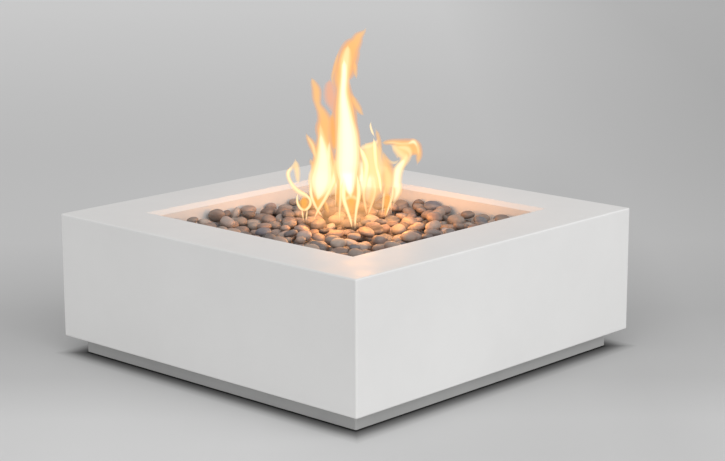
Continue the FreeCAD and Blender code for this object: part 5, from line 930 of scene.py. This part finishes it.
# ---------------------------------------------------------------- access door
# A shallow steel door, folded at its edges and powder-coated white, with two columns of louvres. It
# turns on two pins in a stainless frame; a folded pull sits in its slot and a magnet holds it shut.
powder = Finish("white_powder_coat", (0.77, 0.765, 0.755), 0.40)
powder.two_tone(powder.noise(5, detail=4), (0.78, 0.775, 0.765), (0.745, 0.74, 0.725))
powder.rough(powder.noise(60), 0.34, 0.50)
powder.bump(powder.noise(700, detail=1), 0.00008, 0.6)
powder.set(Coat_Weight=0.15, Coat_Roughness=0.3)
dress(powder, "access_door")

LOUVRE_GAP, LOUVRE_WIDTH, LOUVRE_PITCH, LOUVRE_ROWS = 0.005, 0.060, 0.014, 6
LOUVRE_COLUMNS, LOUVRE_INSET = (-0.084, 0.036), 0.0018
door_low, door_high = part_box("access_door")
louvre_middle = (door_low.z + door_high.z) / 2
louvres = [(door_high.x - LOUVRE_INSET, column,
            louvre_middle + (row - (LOUVRE_ROWS - 1) / 2) * LOUVRE_PITCH)
           for column in LOUVRE_COLUMNS for row in range(LOUVRE_ROWS)]
folded_blades("door_louvre_blades", "door", powder, louvres, (0, 0, -1), (1, 0, 0),
              LOUVRE_GAP, LOUVRE_WIDTH - END_GAP)

# ---------------------------------------------------------------- gas control
# A moulded black knob with finger flutes and a white line turns the valve. Round it the flame scale is
# printed on the panel: a dot for shut, and a wedge that narrows from the full flame to the low one.
KNOB_TURN = next(joint["range_deg"][1] for joint in frame["joints"] if joint["name"] == "knob_turn")
SCALE_INNER, SCALE_OUTER, WEDGE_FROM, WEDGE_LOSS = 0.0262, 0.0300, 90, 0.8
TICK_INNER, TICK_OUTER, TICK_LEAN, TICK_TURN = 0.0315, 0.0345, 0.8, 20
DOT_REACH, DOT_RADIUS, INK_THICK = 0.0318, 0.0016, 0.0001
DOT_SIDES, SWEEP_STEPS = 24, 30

plastic = Finish("black_plastic", (0.022, 0.022, 0.023), 0.38)
plastic.two_tone(plastic.noise(40), (0.018, 0.018, 0.019), (0.034, 0.034, 0.036))
plastic.rough(plastic.noise(220), 0.32, 0.50)
plastic.bump(plastic.noise(1800, detail=2), 0.00004)
dress(plastic, "control_knob", "igniter_module", "hose_clip")
white_line = Finish("white_paint", (0.80, 0.80, 0.79), 0.45)
white_line.bump(white_line.noise(2500, detail=2), 0.00002)
white_line.rough(white_line.noise(600), 0.38, 0.55)
dress(white_line, "knob_pointer")

knob_low, knob_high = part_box("control_knob")
knob_middle = (knob_low + knob_high) / 2
panel_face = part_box("control_panel")[1].y


def on_panel(reach, turn):
    """A place on the panel, out from the knob's middle and round from its top, as the knob turns."""
    angle = math.radians(turn)
    return Vector((knob_middle.x + reach * math.sin(angle), panel_face,
                   knob_middle.z + reach * math.cos(angle)))


dot = [on_panel(DOT_REACH, 0) + Vector((math.cos(turn), 0, math.sin(turn))) * DOT_RADIUS
       for turn in np.linspace(0, 2 * math.pi, DOT_SIDES, endpoint=False)]
sweep = np.linspace(WEDGE_FROM, KNOB_TURN, SWEEP_STEPS)
widths = (SCALE_OUTER - SCALE_INNER) * np.linspace(1, 1 - WEDGE_LOSS, len(sweep))
wedge = [on_panel(SCALE_INNER, turn) for turn in sweep]
wedge += [on_panel(SCALE_INNER + width, turn) for turn, width in zip(sweep[::-1], widths[::-1])]
marks = [dot, wedge]
for turn in range(WEDGE_FROM, int(KNOB_TURN) + 1, TICK_TURN):
    marks.append([on_panel(TICK_INNER, turn - TICK_LEAN), on_panel(TICK_OUTER, turn - TICK_LEAN),
                  on_panel(TICK_OUTER, turn + TICK_LEAN), on_panel(TICK_INNER, turn + TICK_LEAN)])
points, faces = [], []
for outline in marks:
    sides = ring_faces(2, len(outline))[:-2]
    under = list(tessellate_polygon([outline]))
    faces += moved_on(sides + under + moved_on(under, len(outline)), len(points))
    for level in (0, INK_THICK):
        points += [place + Vector((0, level, 0)) for place in outline]
scale_marks = mesh_piece("knob_scale", points, faces, frame_paint, smooth=False)
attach(scale_marks, "table")

# ---------------------------------------------------------------- igniter
# A red push button in a chromed nut fires the spark; its barrel holds one small battery, a bright can
# in a dark jacket.
JACKET_FROM, JACKET_EDGE = 0.003, 0.0005

chrome = Finish("chrome_trim", (0.66, 0.67, 0.68), 0.12, metallic=1.0)
chrome.two_tone(chrome.noise(30), (0.60, 0.61, 0.62), (0.70, 0.71, 0.72), low=0.4)
chrome.rough(chrome.noise(400), 0.08, 0.22)
dress(chrome, "igniter_nut")
red = Finish("red_plastic", (0.42, 0.022, 0.018), 0.32)
red.two_tone(red.noise(120), (0.37, 0.017, 0.014), (0.48, 0.030, 0.024))
red.rough(red.noise(500), 0.26, 0.42)
red.bump(red.noise(2200), 0.00003)
dress(red, "igniter_button")
can = Finish("battery_can", (0.55, 0.53, 0.47), 0.30, metallic=1.0)
_, along_can, _ = can.parts(can.place)
jacket_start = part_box("igniter_battery")[0].y + JACKET_FROM
jacket = can.span(along_can, jacket_start, jacket_start + JACKET_EDGE)
can.colour(can.blend(jacket, (0.60, 0.59, 0.55), (0.10, 0.11, 0.13)))
can.rough(can.noise(300), 0.24, 0.40)
dress(can, "igniter_battery")

# ---------------------------------------------------------------- gas inlet
# The supply hose screws onto a brass flare fitting, turned from hexagon bar: its cut thread stands out
# from the panel, and inside the panel is a tail for the hose to the valve.
INLET_RADIUS, INLET_BORE, INLET_THREAD_LENGTH = 0.00794, 0.0035, 0.016
INLET_PITCH, INLET_THREAD_DEPTH, THREAD_START, THREAD_RUN_OUT = 0.00181, 0.0009, 0.0003, 0.0012
HEX_FLATS, HEX_LENGTH, HEX_CORNER, HEX_EDGE = 0.024, 0.008, 0.0014, 0.0008
BODY_RADIUS, TAIL_RADIUS, TAIL_LENGTH = 0.0084, 0.006, 0.014
BORE_EDGE, INLET_SIDES = 0.0006, 36
inlet_low, inlet_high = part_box("gas_inlet_fitting")
inlet_middle = (inlet_low + inlet_high) / 2
end = inlet_high.y - inlet_low.y
shoulder = end - INLET_THREAD_LENGTH


def hexagon_ring(level, chamfer=0.0):
    """A hexagon's outline, cut back at its corners, as one ring of points."""
    turns = np.arange(INLET_SIDES) / INLET_SIDES * 2 * math.pi
    reach = HEX_FLATS / 2 / np.cos((turns + math.pi / 6) % (math.pi / 3) - math.pi / 6)
    reach = np.minimum(reach, HEX_FLATS / 2 / math.cos(math.pi / 6) - chamfer)
    return np.c_[reach * np.cos(turns), reach * np.sin(turns), np.full(INLET_SIDES, level)]


rings = [plain_ring(radius, level, INLET_SIDES) for radius, level in
         ((INLET_BORE, 0), (TAIL_RADIUS, 0), (TAIL_RADIUS, TAIL_LENGTH), (BODY_RADIUS, TAIL_LENGTH),
          (BODY_RADIUS, shoulder - HEX_LENGTH))]
rings += [hexagon_ring(shoulder - HEX_LENGTH, HEX_CORNER), hexagon_ring(shoulder - HEX_LENGTH + HEX_EDGE),
          hexagon_ring(shoulder - HEX_EDGE), hexagon_ring(shoulder, HEX_CORNER)]
rings += thread_rings(INLET_RADIUS, INLET_THREAD_DEPTH, INLET_PITCH, shoulder + THREAD_START,
                      end - THREAD_RUN_OUT, INLET_SIDES)
rings += [plain_ring(radius, level, INLET_SIDES) for radius, level in
          ((INLET_RADIUS - THREAD_RUN_OUT, end), (INLET_BORE + BORE_EDGE, end),
           (INLET_BORE, end - BORE_EDGE))]
faces = ring_faces(len(rings), INLET_SIDES)[:-2]
last = (len(rings) - 1) * INLET_SIDES
faces += [(last + side, last + (side + 1) % INLET_SIDES, (side + 1) % INLET_SIDES, side)
          for side in range(INLET_SIDES)]
turned_brass = [(inlet_middle.x + x, inlet_low.y + along, inlet_middle.z + z)
                for x, z, along in np.vstack(rings)]
inlet = mesh_piece("threaded_gas_inlet", turned_brass, faces, brass, smooth=False)
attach(inlet, "table")
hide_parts("gas_inlet_fitting")

# ---------------------------------------------------------------- hoses
# The gas comes up through rubber hose in a jacket of braided stainless wire, from the inlet to the
# valve and from the valve to the burner. The braid is laid on in flat ribbons that pass over and under.
BURNER_ROUTE = ((-0.2295, 0.4125, 0.145), (-0.2295, 0.3425, 0.145), (-0.1895, 0.2725, 0.0735),
                (-0.090, 0.200, 0.0595), (0, 0.160, 0.0595), (0, 0, 0.0595), (0, 0, 0.1285))
INLET_ROUTE = ((-0.135, 0.4665, 0.145), (-0.135, 0.3625, 0.145), (-0.2005, 0.3625, 0.145),
               (-0.2005, 0.4125, 0.145))
BURNER_HOSE_RADIUS, INLET_HOSE_RADIUS = 0.0065, 0.006
BRAID_RIBBONS, BRAID_LAY, OVER_EDGE = 12, 0.045, 0.03
TUBE_STEP, LEAST_RINGS, FIRST_SIDE = 0.002, 8, (0.3, 0.5, 0.8)


def curve_along(route):
    """The smooth curve that a route's points steer, as a line of points."""
    curve = bpy.data.curves.new("route", "CURVE")
    curve.dimensions = "3D"
    curve.resolution_u = 24
    spline = curve.splines.new("NURBS")
    spline.points.add(len(route) - 1)
    for point, place in zip(spline.points, route):
        point.co = (*place, 1)
    spline.order_u = 3
    spline.use_endpoint_u = True
    guide = bpy.data.objects.new("route", curve)
    line = bpy.data.meshes.new_from_object(guide)
    points = np.array([tuple(point.co) for point in line.vertices])
    bpy.data.objects.remove(guide)
    bpy.data.curves.remove(curve)
    bpy.data.meshes.remove(line)
    return points


def tube_along(name, node, route, radius, finish, sides=24):
    """A tube round a route, whose skin knows how far round and how far along it is."""
    line = curve_along(route)
    run = np.r_[0, np.cumsum(np.linalg.norm(np.diff(line, axis=0), axis=1))]
    stations = np.linspace(0, run[-1], max(int(run[-1] / TUBE_STEP), LEAST_RINGS))
    middle = np.stack([np.interp(stations, run, line[:, axis]) for axis in range(3)], axis=1)
    ahead = np.gradient(middle, axis=0)
    ahead /= np.linalg.norm(ahead, axis=1, keepdims=True)
    side = np.cross(ahead[0], FIRST_SIDE)
    turns = np.arange(sides) / sides * 2 * math.pi
    points = []
    for place, way in zip(middle, ahead):
        side = side - way * side.dot(way)
        side /= np.linalg.norm(side)
        over = np.cross(way, side)
        points.append(place + radius * (np.cos(turns)[:, None] * side + np.sin(turns)[:, None] * over))
    faces = ring_faces(len(middle), sides)
    made = mesh_piece(name, np.vstack(points), faces, finish)
    lay = made.data.attributes.new("lay", "FLOAT_VECTOR", "CORNER")
    share = []
    for face in faces[:-2]:
        first = face[0] % sides
        rounds = (first, first + 1, first + 1, first)
        share += [(turn / sides, stations[corner // sides], 0) for turn, corner in zip(rounds, face)]
    share += [(0, 0, 0)] * (2 * sides)
    lay.data.foreach_set("vector", np.array(share, np.float32).ravel())
    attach(made, "table")
    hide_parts(node)


braid = Finish("hose_braid", (0.50, 0.50, 0.49), 0.34, metallic=1.0)
laid_out = braid.node("ShaderNodeAttribute", attribute_name="lay").outputs["Vector"]
round_share, length_along, _ = braid.parts(laid_out)
wound = braid.sums("MULTIPLY", round_share, BRAID_RIBBONS)
laid = braid.sums("MULTIPLY", length_along, BRAID_RIBBONS / BRAID_LAY)


def ribbons(operation):
    """How high the ribbons that are wound one way stand, and on which of them a point lies."""
    phase = braid.sums(operation, wound, laid)
    return braid.sums("SINE", braid.sums("MULTIPLY", phase, math.pi))


right_hand, left_hand = ribbons("ADD"), ribbons("SUBTRACT")
over = braid.span(braid.sums("MULTIPLY", right_hand, left_hand), -OVER_EDGE, OVER_EDGE)
under = braid.sums("SUBTRACT", 1.0, over)
weave = braid.sums("ADD", braid.sums("MULTIPLY", braid.sums("ABSOLUTE", right_hand), over),
                   braid.sums("MULTIPLY", braid.sums("ABSOLUTE", left_hand), under))
# painted shade across the braid: its colour follows the height of the ribbons, dark in the gaps between
# them and lightest on their crowns
braid.colour(braid.ramp(weave, [(0.15, (0.10, 0.10, 0.10)), (0.45, (0.42, 0.42, 0.41)),
                                (0.9, (0.66, 0.66, 0.65))]))
braid.bump(weave, 0.0006)
braid.rough(braid.noise(900, detail=2), 0.26, 0.44)
tube_along("braided_burner_hose", "burner_hose", BURNER_ROUTE, BURNER_HOSE_RADIUS, braid)
tube_along("braided_inlet_hose", "inlet_hose", INLET_ROUTE, INLET_HOSE_RADIUS, braid)

# ---------------------------------------------------------------- wires
# The spark wire runs to the electrode in a red silicone sleeve, and the thermocouple's copper capillary
# runs back to the valve, which shuts if the flame goes out.
SPARK_ROUTE = ((-0.300, 0.4045, 0.145), (-0.300, 0.3545, 0.145), (-0.230, 0.272, 0.1512),
               (-0.083, 0.202, 0.1589), (-0.013, 0.182, 0.1749), (-0.013, 0.182, 0.222))
LEAD_ROUTE = ((-0.215, 0.4185, 0.128), (-0.215, 0.3585, 0.128), (-0.125, 0.2885, 0.1342),
              (0.043, 0.222, 0.1548), (0.013, 0.182, 0.179), (0.013, 0.182, 0.222))
WIRE_RADIUS, LEAD_RADIUS = 0.0025, 0.0015

sleeve = Finish("wire_sleeve", (0.36, 0.055, 0.035), 0.48)
sleeve.two_tone(sleeve.noise(80), (0.31, 0.045, 0.028), (0.42, 0.07, 0.045))
sleeve.rough(sleeve.noise(400), 0.42, 0.60)
sleeve.bump(sleeve.noise(1500), 0.00005)
tube_along("silicone_spark_wire", "electrode_wire", SPARK_ROUTE, WIRE_RADIUS, sleeve,
           sides=16)

copper = Finish("copper_lead", (0.62, 0.30, 0.17), 0.30, metallic=1.0)
copper.two_tone(copper.noise(60, detail=4), (0.45, 0.20, 0.11), (0.70, 0.36, 0.21))
copper.rough(copper.noise(300), 0.24, 0.44)
tube_along("copper_capillary", "thermocouple_lead", LEAD_ROUTE, LEAD_RADIUS, copper,
           sides=12)
